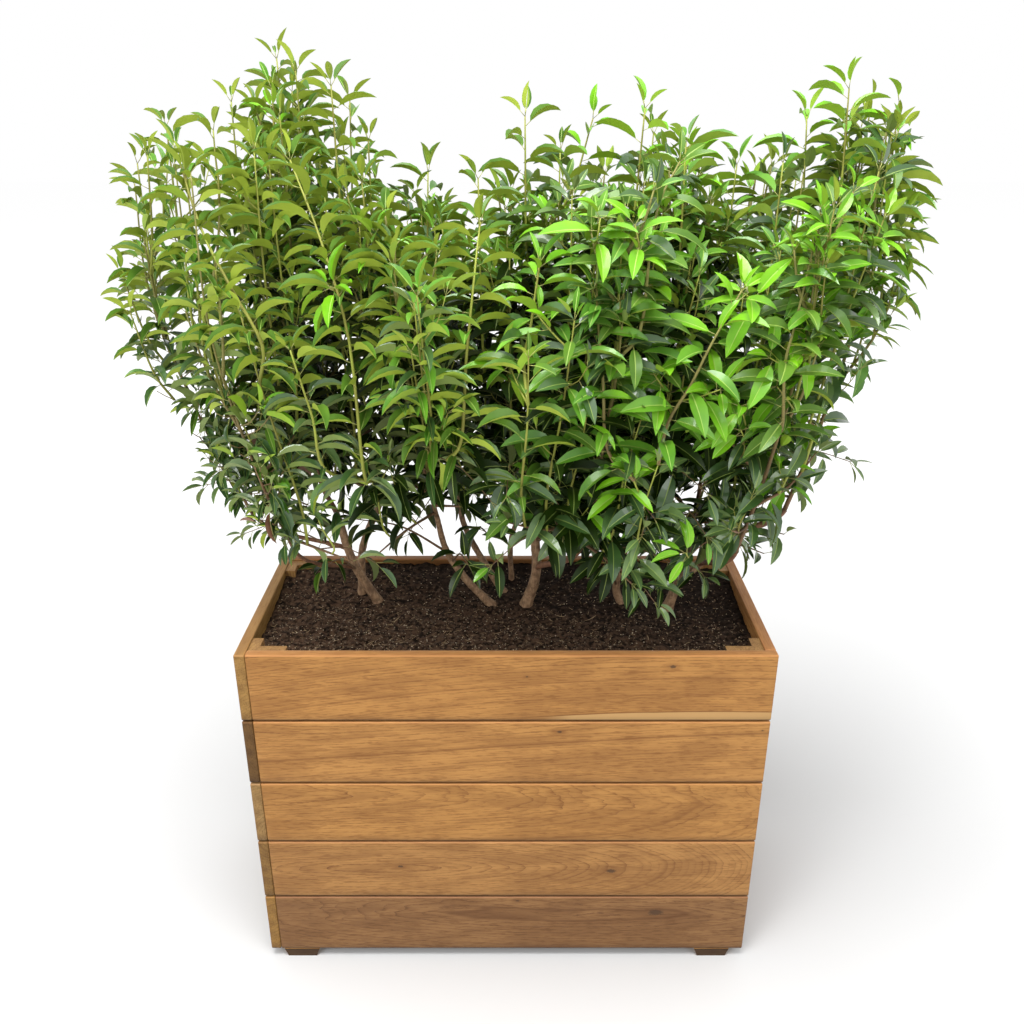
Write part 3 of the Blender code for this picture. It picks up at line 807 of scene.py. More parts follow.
# %% Crumbs, fibres and grit
CRUMBS = 2600
CRUMB_SIZES = (0.0010, 0.0034)
FIBRES = 1000
FIBRE_LENGTHS = (0.003, 0.014)
FIBRE_WIDTH = 0.0009
FLECKS = 1500
FLECK_SIZES = (0.0007, 0.0018)
STRAWS = 16
STRAW_LENGTHS = (0.018, 0.034)
STRAW_WIDTH = 0.0017
FEWER_BEHIND = ((-0.10, 0.16), (1.0, 0.30))
FEWER_RIGHT = ((-0.30, 0.20), (1.0, 0.60))
STREW_MARGIN = 0.008
CRUMB_TOSS = (0.7, 1.3)
CRUMB_FLATTENED = 0.8
FIBRE_LIFT = 0.0012
FIBRE_RIDGE = 0.0006

draw = random.Random(SOIL_SEED)
ball = bmesh.new()
bmesh.ops.create_uvsphere(ball, u_segments=4, v_segments=3, radius=1.0)
BALL_POINTS = [corner.co.copy() for corner in ball.verts]
BALL_FACES = [[corner.index for corner in face.verts] for face in ball.faces]
ball.free()


def on_soil(draw):
    """A place on the soil, more likely at the front and left, where the pale bits lie."""
    while True:
        x = draw.uniform(soil_low.x + STREW_MARGIN, soil_high.x - STREW_MARGIN)
        y = draw.uniform(soil_low.y + STREW_MARGIN, soil_high.y - STREW_MARGIN)
        if draw.random() < numpy.interp(y, *FEWER_BEHIND) * numpy.interp(x, *FEWER_RIGHT):
            return Vector((x, y, soil_height(x, y)))


def crumb(sizes):
    centre = on_soil(draw)
    size = draw.uniform(*sizes)
    points = []
    for point in BALL_POINTS:
        x = point.x * draw.uniform(*CRUMB_TOSS)
        y = point.y * draw.uniform(*CRUMB_TOSS)
        points.append(centre + size * Vector((x, y, point.z * CRUMB_FLATTENED)))
    return points, BALL_FACES


def fibre(lengths, width):
    """A flat sliver of three quads a side, bent a little, lying on the soil."""
    centre = on_soil(draw)
    turn = draw.uniform(0, math.pi)
    length = draw.uniform(*lengths) * draw.uniform(0.5, 1.0)
    along = Vector((math.cos(turn), math.sin(turn), draw.uniform(-0.15, 0.35))).normalized()
    across = along.cross(UP).normalized() * width * draw.uniform(0.5, 1.2)
    bend = across.normalized() * length * draw.uniform(-0.15, 0.15)
    points = []
    for step in range(4):
        share = step / 3
        arch = math.sin(math.pi * share)
        middle = centre + along * length * (share - 0.5) + bend * arch + UP * FIBRE_LIFT
        thin = 0.35 + 0.65 * arch
        points += [middle - across * thin / 2, middle + across * thin / 2, middle + UP * FIBRE_RIDGE * thin]
    faces = []
    for step in range(3):
        for a, b in ((0, 1), (1, 2), (2, 0)):
            faces.append((3 * step + a, 3 * step + b, 3 * step + 3 + b, 3 * step + 3 + a))
    faces += [(2, 1, 0), (9, 10, 11)]
    return points, faces


def strewn(count, shape, *sizes):
    """A bundle of many shapes of one kind."""
    bundle = Bundle()
    for _ in range(count):
        bundle.add(*shape(*sizes))
    return bundle


crumbs = strewn(CRUMBS, crumb, CRUMB_SIZES)
fibres = strewn(FIBRES, fibre, FIBRE_LENGTHS, FIBRE_WIDTH)
straws = strewn(STRAWS, fibre, STRAW_LENGTHS, STRAW_WIDTH)
fibres.add(straws.points, straws.faces)
flecks = strewn(FLECKS, crumb, FLECK_SIZES)
LITTER = {
    "crumbs": (crumbs, (0.125, 0.078, 0.046), (0.020, 0.012, 0.008), 240.0, (0.80, 0.95), 0.0004, 1200.0),
    "fibres": (fibres, (0.42, 0.29, 0.16), (0.22, 0.14, 0.075), 60.0, (0.70, 0.90), 0.0002, 1500.0),
    "flecks": (flecks, (0.50, 0.40, 0.28), (0.22, 0.155, 0.095), 150.0, (0.70, 0.90), 0.0002, 1500.0),
}
for kind, (bundle, *look) in LITTER.items():
    finished = mottled_material(f"loose {kind}", *look)
    add_piece(f"soil_{kind}", bundle.mesh(f"soil {kind}", smooth=False), [finished], "soil")
print(CRUMBS, "crumbs and", FIBRES, "fibres strewn")

# %% [markdown]
# ## The limbs' courses
#
# The plain model grows from a rule: stems rise from the soil through a few points, and boughs
# leave them on smooth curves. The same sizes and the same sums are written again here, with
# finer steps, so that the bark lies where the plain limbs lie.

# %% Stems and boughs
SEAT = 0.0003
STEM_CUT = 0.715 + SEAT
STEMS = {
    "stem_left_outer": (
        ((-0.268, 0.050), (-0.312, 0.036, 0.815), (-0.335, 0.042, 0.905)),
        (0.0095, 0.0080),
    ),
    "stem_left_inner": (
        ((-0.305, 0.078), (-0.300, 0.086, 0.820), (-0.262, 0.094, 0.915)),
        (0.0085, 0.0070),
    ),
    "stem_centre_lean": (
        ((-0.030, 0.034), (-0.086, 0.030, 0.782), (-0.122, 0.022, 0.852), (-0.134, -0.026, 0.945)),
        (0.0085, 0.0050),
    ),
    "stem_centre_back": (
        ((-0.004, 0.086), (-0.036, 0.094, 0.764), (-0.088, 0.110, 0.862), (-0.104, 0.136, 0.955)),
        (0.0075, 0.0048),
    ),
    "stem_centre_thin": (
        ((0.010, 0.132), (0.012, 0.140, 0.830), (0.070, 0.158, 0.955)),
        (0.0060, 0.0042),
    ),
    "stem_centre_main": (
        ((0.040, 0.036), (0.060, 0.034, 0.794), (0.055, 0.030, 0.895)),
        (0.0110, 0.0088),
    ),
    "stem_right_inner": (
        ((0.239, 0.036), (0.226, 0.036, 0.770), (0.258, 0.014, 0.940)),
        (0.0080, 0.0050),
    ),
    "stem_right_outer": (
        ((0.330, 0.020), (0.352, 0.020, 0.778), (0.395, 0.020, 0.826), (0.440, 0.020, 0.872)),
        (0.0100, 0.0082),
    ),
}
BOUGHS = {
    "bough_left_peak": ("stem_left_outer", 1.00, (-0.362, 0.020, 1.000), (0.0078, 0.0054)),
    "bough_left_end": ("stem_left_outer", 0.66, (-0.500, 0.016, 0.930), (0.0062, 0.0048)),
    "bough_front_left": ("stem_left_outer", 0.42, (-0.395, -0.110, 0.915), (0.0056, 0.0046)),
    "bough_back_left": ("stem_left_inner", 1.00, (-0.350, 0.168, 0.965), (0.0068, 0.0050)),
    "bough_centre": ("stem_centre_main", 1.00, (0.010, 0.004, 0.985), (0.0086, 0.0056)),
    "bough_front_centre": ("stem_centre_main", 0.55, (0.140, -0.100, 0.915), (0.0060, 0.0048)),
    "bough_right_end": ("stem_right_outer", 1.00, (0.545, 0.012, 0.940), (0.0080, 0.0052)),
    "bough_front_right": ("stem_right_outer", 0.62, (0.425, -0.115, 0.910), (0.0058, 0.0046)),
    "bough_back_right": ("stem_right_outer", 0.40, (0.405, 0.150, 0.940), (0.0056, 0.0046)),
}
FLARE = 0.30
FLARE_HEIGHT = 0.014
BOUGH_SWING = 0.25
BOUGH_RISE = 0.8
COARSE = {"stem": 3, "bough": 5}
FINE = {"stem": 18, "bough": 40}


def smooth_path(points, steps):
    """A smooth curve through the points, as points and unit directions."""
    points = [Vector(point) for point in points]
    guide = [points[0] * 2 - points[1], *points, points[-1] * 2 - points[-2]]
    path = []
    for a, b, c, d in zip(guide, guide[1:], guide[2:], guide[3:]):
        for step in range(steps):
            t = step / steps
            square = (2 * a - 5 * b + 4 * c - d) * t * t
            cube = (3 * b - a - 3 * c + d) * t**3
            path.append(0.5 * (2 * b + (c - a) * t + square + cube))
    path.append(points[-1])
    return path, directions_of(path)


def directions_of(path):
    ends = [path[0], *path, path[-1]]
    return [(later - earlier).normalized() for earlier, later in zip(ends, ends[2:])]


def between(places, share):
    """A place a share of the way along evenly numbered points or directions."""
    place = share * (len(places) - 1)
    index = min(int(place), len(places) - 2)
    return places[index].lerp(places[index + 1], place - index)


def distances_along(path):
    """How far each point lies from the first along the path."""
    lengths = [0.0]
    for a, b in zip(path, path[1:]):
        lengths.append(lengths[-1] + (b - a).length)
    return lengths


def length_of(path):
    return distances_along(path)[-1]


def taper(path, first, last):
    """Radii that shrink evenly with the distance along the path."""
    lengths = distances_along(path)
    return [first + (last - first) * length / lengths[-1] for length in lengths]


def stem_course(name, steps):
    (foot, *rest), (first, last) = STEMS[name]
    path, directions = smooth_path([(*foot, STEM_CUT), *rest], steps["stem"])
    radii = [
        radius * (1 + FLARE * math.exp(-(point.z - STEM_CUT) / FLARE_HEIGHT))
        for point, radius in zip(path, taper(path, first, last))
    ]
    return path, directions, radii


def bough_course(name, steps):
    stem, share, tip, (first, last) = BOUGHS[name]
    path, directions, _radii = stem_course(stem, COARSE)
    tip = Vector(tip)
    if share == 1.0:
        start = path[-1] + SEAT * directions[-1]
        leaving = directions[-1]
    else:
        start = between(path, share)
        leaving = (tip - start).normalized()
    span = (tip - start).length
    arriving = (tip - start - BOUGH_SWING * span * Vector((leaving.x, leaving.y, 0))).normalized()
    arriving = (arriving + Vector((0, 0, BOUGH_RISE))).normalized()
    course = []
    for ring in range(steps["bough"] + 1):
        t = ring / steps["bough"]
        course.append(
            start * (2 * t**3 - 3 * t**2 + 1)
            + leaving * span * (t**3 - 2 * t**2 + t)
            + tip * (3 * t**2 - 2 * t**3)
            + arriving * span * (t**3 - t**2)
        )
    turns = directions_of(course)
    turns[0] = leaving
    turns[-1] = arriving
    return course, turns, taper(course, first, last)


def limb_course(name, steps):
    return stem_course(name, steps) if name in STEMS else bough_course(name, steps)


# %% [markdown]
# ## Bark
#
# Young laurel bark is smooth, with shallow ridges along the stem, small pores and a slight
# swelling at every old leaf scar. That relief is real geometry here: each ring of a limb's tube
# is pushed in and out by noise. A limb's foot runs on a little into what carries it, and one that
# leaves a stem's side swells into a collar there, so that no joint shows. The boughs at the left
# are slimmer than the plain ones, since they show there.

# %% Bark meshes
BARK_SIDES = 18
BARK_RIDGES = 0.12
BARK_PORES = 0.00035
SCAR_EVERY = 0.034
SCAR_SWELL = 0.07
FOOT_SINKS = 0.012
BOUGH_SINKS = 0.003
COLLAR_SWELL = 0.45
COLLAR_LENGTH = 0.010
GREENER_FROM = (1.00, 1.40)
LEFT_LIMBS = ("bough_left_end", "bough_left_peak", "bough_front_left", "bough_back_left")
LEFT_SLIMMER = 0.72


def ring_points(centre, direction, across, radius_at, sides):
    other = direction.cross(across)
    points = []
    for side in range(sides):
        angle = 2 * math.pi * side / sides
        points.append(centre + radius_at(angle) * (math.cos(angle) * across + math.sin(angle) * other))
    return points


def tube(path, directions, radius_at, sides):
    """Points and faces of a closed tube. Radius_at gives a radius from a ring's number and an angle."""
    across = directions[0].orthogonal().normalized()
    points = []
    faces = []
    for index, (centre, direction) in enumerate(zip(path, directions)):
        across = (across - direction * across.dot(direction)).normalized()
        points += ring_points(centre, direction, across, lambda angle, i=index: radius_at(i, angle), sides)
    for index in range(len(path) - 1):
        for side in range(sides):
            a = index * sides + side
            b = index * sides + (side + 1) % sides
            faces.append((a, b, b + sides, a + sides))
    faces.append(tuple(range(sides))[::-1])
    faces.append(tuple(range(len(points) - sides, len(points))))
    return points, faces


def bark_mesh(name, number):
    path, directions, radii = limb_course(name, FINE)
    inwards = UP if name in STEMS else directions[0]
    sinks = FOOT_SINKS if name in STEMS else BOUGH_SINKS
    path = [path[0] - sinks * inwards, *path]
    directions = [inwards, *directions]
    radii = [radii[0], *radii]
    from_side = name in BOUGHS and BOUGHS[name][1] < 1.0
    collar = COLLAR_SWELL if from_side else 0.0
    if name in LEFT_LIMBS:
        radii = [LEFT_SLIMMER * radius for radius in radii]
    lengths = distances_along(path)

    def radius_at(index, angle):
        along = lengths[index]
        round_place = Vector((math.cos(angle), math.sin(angle), 0.0))
        ridges = noise.noise(round_place * 1.9 + Vector((number, 0, along * 26)))
        pores = noise.noise(round_place * 7.0 + Vector((0, number, along * 320)))
        scars = max(0.0, math.cos(2 * math.pi * (along / SCAR_EVERY + number * 0.37))) ** 12
        swell = 1 + BARK_RIDGES * ridges + SCAR_SWELL * scars
        swell += collar * math.exp(-along / COLLAR_LENGTH)
        return radii[index] * swell + BARK_PORES * pores

    points, faces = tube(path, directions, radius_at, BARK_SIDES)
    return mesh_from(f"bark {name}", points, faces, sharp_over=math.radians(60))


def bark_material(name, first, second, patch, higher=None):
    """Bark in two mottled colours with pale patches, streaked along the limb, greener higher up."""
    material, tree, shader = new_material(name)
    tones = mottled(tree, first, second, 90.0, 0.2)
    place = own(tree)
    streaks = speckle(tree, place, 1.0, 4.0, (420.0, 420.0, 60.0))
    pores = speckle(tree, place, 1.0, 2.0, (260.0, 260.0, 700.0))
    colour = mixed(tree, ramped(tree, streaks, 0.45, 0.75, 0.0, 0.6), tones["Colour"], rgba(patch))
    if higher:
        colour = mixed(tree, ramped(tree, split(tree, place)[2], *GREENER_FROM), colour, rgba(higher))
    colour = mixed(tree, ramped(tree, pores, 0.60, 0.72, 0.0, 0.7), colour, rgba(scaled(second, 0.6)))
    finish(tree, shader, colour, ramped(tree, streaks, 0.3, 0.8, 0.65, 0.9), streaks, 0.0010)
    return material


BARKS = {
    "stem": ("grey brown bark", (0.320, 0.190, 0.098), (0.140, 0.074, 0.036), (0.500, 0.330, 0.190)),
    "bough": ("red brown bark", (0.200, 0.085, 0.038), (0.105, 0.044, 0.022), (0.260, 0.140, 0.070)),
}
barks = {kind: bark_material(*look) for kind, look in BARKS.items()}
for number, name in enumerate([*STEMS, *BOUGHS]):
    kind = "stem" if name in STEMS else "bough"
    add_piece(f"bark_{name}", bark_mesh(name, number), [barks[kind]], kind, [name])
print(len(STEMS) + len(BOUGHS), "limbs in bark")

# %% [markdown]
# ## The crown's reach
#
# The crown has a measured outline: how far it spreads at each height, how its top edge runs, and
# how low it hangs. Each mass of foliage keeps to the part of the crown that lies nearest to its
# own axis. These are the plain model's rules again, written for many points at once. The sizes
# follow the real plant more closely than the plain ones: the top edge has more steps, the left
# side is drawn in, most of all low down, and the underside is lifted in places.

# %% Reach and masses
CROWN_REACH_X = 0.74
CROWN_REACH_Y = 0.40
CROWN_ROUNDNESS = 2.1
SPREAD = (
    (0.78, 0.66), (0.98, 0.79), (1.20, 0.88), (1.34, 1.00), (1.54, 0.99), (1.66, 0.92), (1.80, 0.66),
)
LEFT_SPREAD = (
    (0.78, 0.64), (0.90, 0.66), (1.00, 0.74), (1.08, 0.76), (1.13, 0.78), (1.18, 0.83),
    (1.23, 0.88), (1.30, 0.95), (1.35, 0.99), (1.40, 0.96), (1.44, 0.91), (1.48, 0.87),
    (1.52, 0.91), (1.58, 0.92), (1.66, 0.87), (1.80, 0.66),
)
LEFT_TO_RIGHT = (-0.30, 0.30)
TOP_EDGE = (
    (-0.76, 1.42), (-0.66, 1.58), (-0.58, 1.65), (-0.47, 1.68), (-0.42, 1.73), (-0.39, 1.755),
    (-0.33, 1.75), (-0.28, 1.71), (-0.20, 1.62), (-0.15, 1.57), (-0.05, 1.57), (0.03, 1.60),
    (0.09, 1.60), (0.15, 1.62), (0.24, 1.665), (0.34, 1.605), (0.42, 1.59), (0.50, 1.66),
    (0.56, 1.70), (0.66, 1.69), (0.76, 1.46),
)
UNDERSIDE = (
    (-0.70, 0.90), (-0.42, 0.89), (-0.33, 0.84), (-0.15, 0.86), (0.05, 0.83), (0.15, 0.84),
    (0.22, 0.79), (0.30, 0.775), (0.50, 0.80), (0.70, 0.84),
)
SHOULDER_DROP = 0.05
SHOULDER_STARTS = 0.06
SHOULDER_ENDS = 0.22
MASSES = {
    "foliage_left_end": ("bough_left_end", (-0.630, 0.000)),
    "foliage_left_peak": ("bough_left_peak", (-0.385, 0.010)),
    "foliage_front_left": ("bough_front_left", (-0.460, -0.230)),
    "foliage_back_left": ("bough_back_left", (-0.460, 0.230)),
    "foliage_front_centre_left": ("stem_centre_lean", (-0.165, -0.235)),
    "foliage_back_centre_left": ("stem_centre_back", (-0.150, 0.235)),
    "foliage_centre": ("bough_centre", (0.010, 0.000)),
    "foliage_front_centre_right": ("bough_front_centre", (0.180, -0.235)),
    "foliage_back_centre_right": ("stem_centre_thin", (0.170, 0.235)),
    "foliage_centre_right": ("stem_right_inner", (0.300, 0.000)),
    "foliage_front_right": ("bough_front_right", (0.470, -0.230)),
    "foliage_back_right": ("bough_back_right", (0.470, 0.230)),
    "foliage_right_end": ("bough_right_end", (0.635, 0.000)),
}
SPREAD_HEIGHT = 0.34
UPRIGHT_HEIGHT = 0.425
TIP_BELOW_EDGE = 0.058
MASS_MARGIN = 0.0012
TWIG_INSET = 0.030
LEAF_ABOVE = 0.042
TOP_LEAF_ABOVE = 0.110
HIGHEST_LEAF = 1.825
LEAF_BELOW = 0.025
LOW_LEAF_BELOW = 0.110


def top_edge(x, y):
    """Height of the crown's top over a place in plan."""
    drop = SHOULDER_DROP * numpy.interp(numpy.abs(y), (SHOULDER_STARTS, SHOULDER_ENDS), (0.0, 1.0))
    return numpy.interp(x, *zip(*TOP_EDGE)) - drop


def outwardness(x, y, z, inset=0.0):
    """How far out places lie in plan: 0 on the middle line, 1 at the crown's sides less an inset."""
    left = numpy.interp(z, *zip(*LEFT_SPREAD))
    right = numpy.interp(z, *zip(*SPREAD))
    share = left + (right - left) * numpy.interp(x, LEFT_TO_RIGHT, (0.0, 1.0))
    sides = numpy.abs([x / (CROWN_REACH_X * share - inset), y / (CROWN_REACH_Y * share - inset)])
    return (sides**CROWN_ROUNDNESS).sum(axis=0) ** (1 / CROWN_ROUNDNESS)


def inside_crown(points, inset=0.0, above=0.0, below=0.0, sides=1.0):
    """For rows of points, which lie in the crown's reach, or a little past its top, foot or sides."""
    x, y, z = numpy.asarray(points, float).T
    over = numpy.interp(x, *zip(*UNDERSIDE)) - below < z
    under = z < numpy.minimum(top_edge(x, y) + above, HIGHEST_LEAF)
    return (outwardness(x, y, z, inset) < sides) & over & under


def mass_base(name):
    path, directions, radii = limb_course(MASSES[name][0], COARSE)
    return path[-1] + SEAT * directions[-1], directions[-1], radii[-1]


def top_of(name):
    x, y = MASSES[name][1]
    return Vector((x, y, top_edge(x, y) - TIP_BELOW_EDGE))


BASES = numpy.array([mass_base(name)[0] for name in MASSES])
TOPS = numpy.array([top_of(name) for name in MASSES])


def axes_at(height):
    """Plan positions of all the masses' axes at a height: each spreads from its base, then stands."""
    t = numpy.clip((height - BASES[:, 2]) / SPREAD_HEIGHT, 0.0, 1.0)[:, None]
    return (1 - t) * BASES[:, :2] + t * TOPS[:, :2]


def inside_mass(number, points):
    """True where all the points are in the crown and nearer to this mass's axis than to any other."""
    if not inside_crown(points, TWIG_INSET).all():
        return False
    for point in points:
        away = numpy.hypot(*(axes_at(point[2]) - point[:2]).T)
        own = away[number]
        away[number] = math.inf
        if own + MASS_MARGIN >= away.min():
            return False
    return True


# %% [markdown]
# ## Growing twigs
#
# From each limb's tip a mass's own stem rises, and side shoots leave it by the golden turn, low
# ones flat and long, high ones steep and short. That much is the plain model's rule, with its
# seeds. The real plant goes further: along every shoot, straight young risers turn up towards
# the light, and these carry most of the leaves. They start where the plain model stops and stay
# within the same mass, so the crown keeps its outline.

# %% Leaders and side shoots
SEED = 41
GOLDEN_TURN = math.radians(137.5)
SHOOTS = 9
FIRST_SHOOT = 0.02
LAST_SHOOT = 0.88
SHOOT_CROWDING = 1.5
LOW_SHOOT_TILT = math.radians(104.0)
HIGH_SHOOT_TILT = math.radians(30.0)
TILT_EASES_BY = 0.42
LOW_SHOOT_LENGTH = 0.260
HIGH_SHOOT_LENGTH = 0.160
SHORTEST_SHOOT = 0.060
TIP_ROOM = 0.050
SHOOT_SHRINK = 0.85
SHOOT_RADII = (0.0034, 0.0013)
LEADER_SHARE = 0.92
LEADER_TIP_RADIUS = 0.0012
AZIMUTH_SLACK = 0.3
SHOOT_RISE = (-0.25, 0.85)
RISES_FULLY_BY = 0.25
SHOOT_STEPS = 3
LIMB_MARGIN = 0.0020
PLAIN_LEADER_STEPS = 2
LEADER_STEPS = 8

limb_points = []
limb_faces = []
for name in [*STEMS, *BOUGHS]:
    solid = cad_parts[name].data
    offset = len(limb_points)
    limb_points += [corner.co + LIMB_MARGIN * corner.normal for corner in solid.vertices]
    limb_faces += [[offset + corner for corner in face.vertices] for face in solid.polygons]
limbs = BVHTree.FromPolygons(limb_points, limb_faces)

Twig = collections.namedtuple("Twig", "path directions first last kind mass")


def leader_course(name, number, steps):
    """The stem of a mass: it sets out along its limb, swings over and rises to the top."""
    base, direction, radius = mass_base(name)
    top = top_of(name)
    elbow_height = base.z + SPREAD_HEIGHT / 2
    elbow = Vector((*axes_at(elbow_height)[number], elbow_height))
    shoulder = Vector((*top.to_2d(), base.z + UPRIGHT_HEIGHT))
    path, directions = smooth_path([base, elbow, shoulder, top], steps)
    directions[0] = direction
    return path, directions, radius * LEADER_SHARE


def clear_of_limbs(points, distance):
    return all(limbs.find_nearest(point, distance)[0] is None for point in points)


def heading(tilt, azimuth):
    """A direction from its tilt from the upright and its azimuth."""
    flat = math.sin(tilt)
    return Vector((flat * math.cos(azimuth), flat * math.sin(azimuth), math.cos(tilt)))


def turned(direction, tilt, azimuth):
    """A direction tilted away from another by an angle, round to an azimuth."""
    side = direction.orthogonal().normalized()
    side = Matrix.Rotation(azimuth, 3, direction) @ side
    return (math.cos(tilt) * direction + math.sin(tilt) * side).normalized()


def grown(points, steps, radii, kind, mass=None):
    """A twig on a smooth course through a few points."""
    return Twig(*smooth_path(points, steps), *radii, kind, mass)


def side_shoots(number, leader, draw):
    """The plain model's side shoots, each the longest that stays in its mass and misses the limbs."""
    top = leader[-1]
    turn = math.atan2(top.y, top.x) + draw.uniform(-AZIMUTH_SLACK, AZIMUTH_SLACK)
    for step in range(SHOOTS):
        share = FIRST_SHOOT + (LAST_SHOOT - FIRST_SHOOT) * (step / (SHOOTS - 1)) ** SHOOT_CROWDING
        root = between(leader, share)
        tilt = numpy.interp(share, (0.0, TILT_EASES_BY), (LOW_SHOOT_TILT, HIGH_SHOOT_TILT))
        leaving = heading(tilt, turn + GOLDEN_TURN * step)
        rise = numpy.interp(share, (0.0, RISES_FULLY_BY), SHOOT_RISE)
        rising = (leaving + UP * rise).normalized()
        length = LOW_SHOOT_LENGTH + (HIGH_SHOOT_LENGTH - LOW_SHOOT_LENGTH) * share
        while length > SHORTEST_SHOOT:
            middle = root + 0.5 * length * leaving
            points = [root, middle, middle + 0.5 * length * rising]
            shoot = grown(points, SHOOT_STEPS, SHOOT_RADII, "shoot", number)
            outer = [point for point in shoot.path if (point - root).length > SHORTEST_SHOOT / 3]
            room = inside_crown([shoot.path[-1] + TIP_ROOM * shoot.directions[-1]]).all()
            if room and inside_mass(number, outer) and clear_of_limbs(outer, SHOOT_RADII[0]):
                yield shoot
                break
            length *= SHOOT_SHRINK


# %% [markdown]
# A riser is straight, leans a little and ends some way under the crown's top. Where it has no room,
# a shorter one is tried. Spurs are short side twigs along the risers and the leaders.

# %% Risers and spurs
RISER_EVERY = 0.058
RISER_FIRST = 0.050
RISER_RADIUS = 0.0016
RISER_THICKENS = 0.0034
RISER_TIP_RADIUS = 0.0011
RISER_HEIGHTS = (0.18, 0.80)
RISER_LEAN = 0.10
RISER_TOP_GAP = (0.050, 0.200)
RISER_SWAY = 0.025
RISER_ELBOW = (0.22, 0.012)
RISER_SHOULDER = 0.62
SHORTEST_RISER = 0.07
SPUR_EVERY = 0.110
SPUR_LENGTHS = (0.050, 0.095)
SPUR_RADII = (0.0014, 0.0008)
SPUR_TILT = math.radians(48.0)
SPUR_RISE = 0.35
SPUR_TOSS = (0.3, 0.9)
LAST_SPUR = 0.85
TWIG_CLEARANCE = 0.003
RISER_CLEARANCE = 0.004


def riser_from(number, root, setting_out, draw):
    """A straight young twig that turns up from a shoot and climbs towards the crown's top."""
    lean = Vector((setting_out.x, setting_out.y, 0)) * draw.uniform(0.0, RISER_LEAN)
    lean += Vector((draw.uniform(-1, 1), draw.uniform(-1, 1), 0)) * RISER_SWAY
    room = float(top_edge(root.x + lean.x, root.y + lean.y)) - draw.uniform(*RISER_TOP_GAP) - root.z
    height = min(draw.uniform(*RISER_HEIGHTS), room)
    while height > SHORTEST_RISER:
        drift = axes_at(root.z + height)[number] - axes_at(root.z)[number]
        top = root + Vector((drift[0], drift[1], height)) + lean * (height / RISER_HEIGHTS[1])
        elbow = root.lerp(top, RISER_ELBOW[0]) + setting_out * RISER_ELBOW[1]
        points = [root, elbow, root.lerp(top, RISER_SHOULDER), top]
        radii = (RISER_RADIUS + RISER_THICKENS * height, RISER_TIP_RADIUS)
        riser = grown(points, 3, radii, "riser", number)
        if inside_mass(number, riser.path[2:]) and clear_of_limbs(riser.path[3:], RISER_CLEARANCE):
            return riser
        height *= SHOOT_SHRINK
    return None


def side_twig(root, leaving, length, rise, kind, mass=None):
    """A short twig that leaves another one and turns up a little."""
    tip = root + length * (leaving + rise * UP).normalized()
    return grown([root, root + 0.5 * length * leaving, tip], 2, SPUR_RADII, kind, mass)


def spurs_on(twig, draw):
    """Short side twigs up a riser or a leader."""
    total = length_of(twig.path)
    turn = draw.uniform(0, 2 * math.pi)
    for step in range(int(total / SPUR_EVERY)):
        share = (step + draw.uniform(*SPUR_TOSS)) * SPUR_EVERY / total
        if share > LAST_SPUR:
            break
        along = between(twig.directions, share).normalized()
        leaving = turned(along, SPUR_TILT, turn + GOLDEN_TURN * step)
        length = draw.uniform(*SPUR_LENGTHS)
        spur = side_twig(between(twig.path, share), leaving, length, SPUR_RISE, "spur", twig.mass)
        if inside_mass(twig.mass, spur.path[-1:]) and clear_of_limbs(spur.path[1:], TWIG_CLEARANCE):
            yield spur


# %% [markdown]
# Below, short twigs hang from the lowest shoots and close the crown's underside. They are left
# out more often left of the middle, where the sky shows through.

# %% Skirts
SKIRT_SHARES = (0.25, 0.50, 0.75, 1.0)
SKIRT_BELOW = 1.16
SKIRT_LENGTHS = (0.07, 0.16)
SKIRT_TILTS = (math.radians(88.0), math.radians(140.0))
SKIRT_RADII = (0.0015, 0.0009)
SKIRT_CHANCE = ((-0.48, -0.32, -0.05, 0.08), (0.90, 0.25, 0.40, 1.0))
SKIRT_SLACK = 1.3
SKIRT_ARCH = 0.3


def skirts_on(shoot, draw):
    """Short hanging twigs along a low shoot."""
    if shoot.path[0].z > SKIRT_BELOW:
        return
    for share in SKIRT_SHARES:
        root = between(shoot.path, share)
        along = between(shoot.directions, share)
        azimuth = math.atan2(along.y, along.x) + draw.uniform(-SKIRT_SLACK, SKIRT_SLACK)
        leaving = heading(draw.uniform(*SKIRT_TILTS), azimuth)
        length = draw.uniform(*SKIRT_LENGTHS)
        wanted = draw.random() < numpy.interp(root.x, *SKIRT_CHANCE)
        points = [root, root + 0.5 * length * (leaving + SKIRT_ARCH * UP), root + length * leaving]
        skirt = grown(points, 2, SKIRT_RADII, "skirt", shoot.mass)
        outer = skirt.path[1:]
        if wanted and inside_crown(outer, TWIG_INSET).all() and clear_of_limbs(outer, TWIG_CLEARANCE):
            yield skirt


# %% [markdown]
# The leaders of the masses at the left would show bare low down, where the crown is narrow. Short
# leafy twigs on their sunny front hide them. They keep to no mass, and may pass the crown's reach
# by a little.

# %% Short twigs on the left leaders
LEFT_MASSES = ("foliage_left_end", "foliage_left_peak", "foliage_front_left", "foliage_back_left")
SHORT_TWIG_FIRST = 0.015
SHORT_TWIG_EVERY = 0.017
SHORT_TWIG_LENGTHS = (0.040, 0.105)
SHORT_TWIG_TILT = math.radians(64.0)
SHORT_TWIG_RISE = 0.20
SHORT_TWIG_TRIES = 6
SHORT_TWIG_BACKWARD = 0.30
SHORT_TWIG_OUTWARD = -0.60
SHORT_TWIG_BEYOND = 1.02
SHORT_TWIG_HEIGHTS = (0.93, 1.24)
SHORT_TWIG_BELOW = 0.040


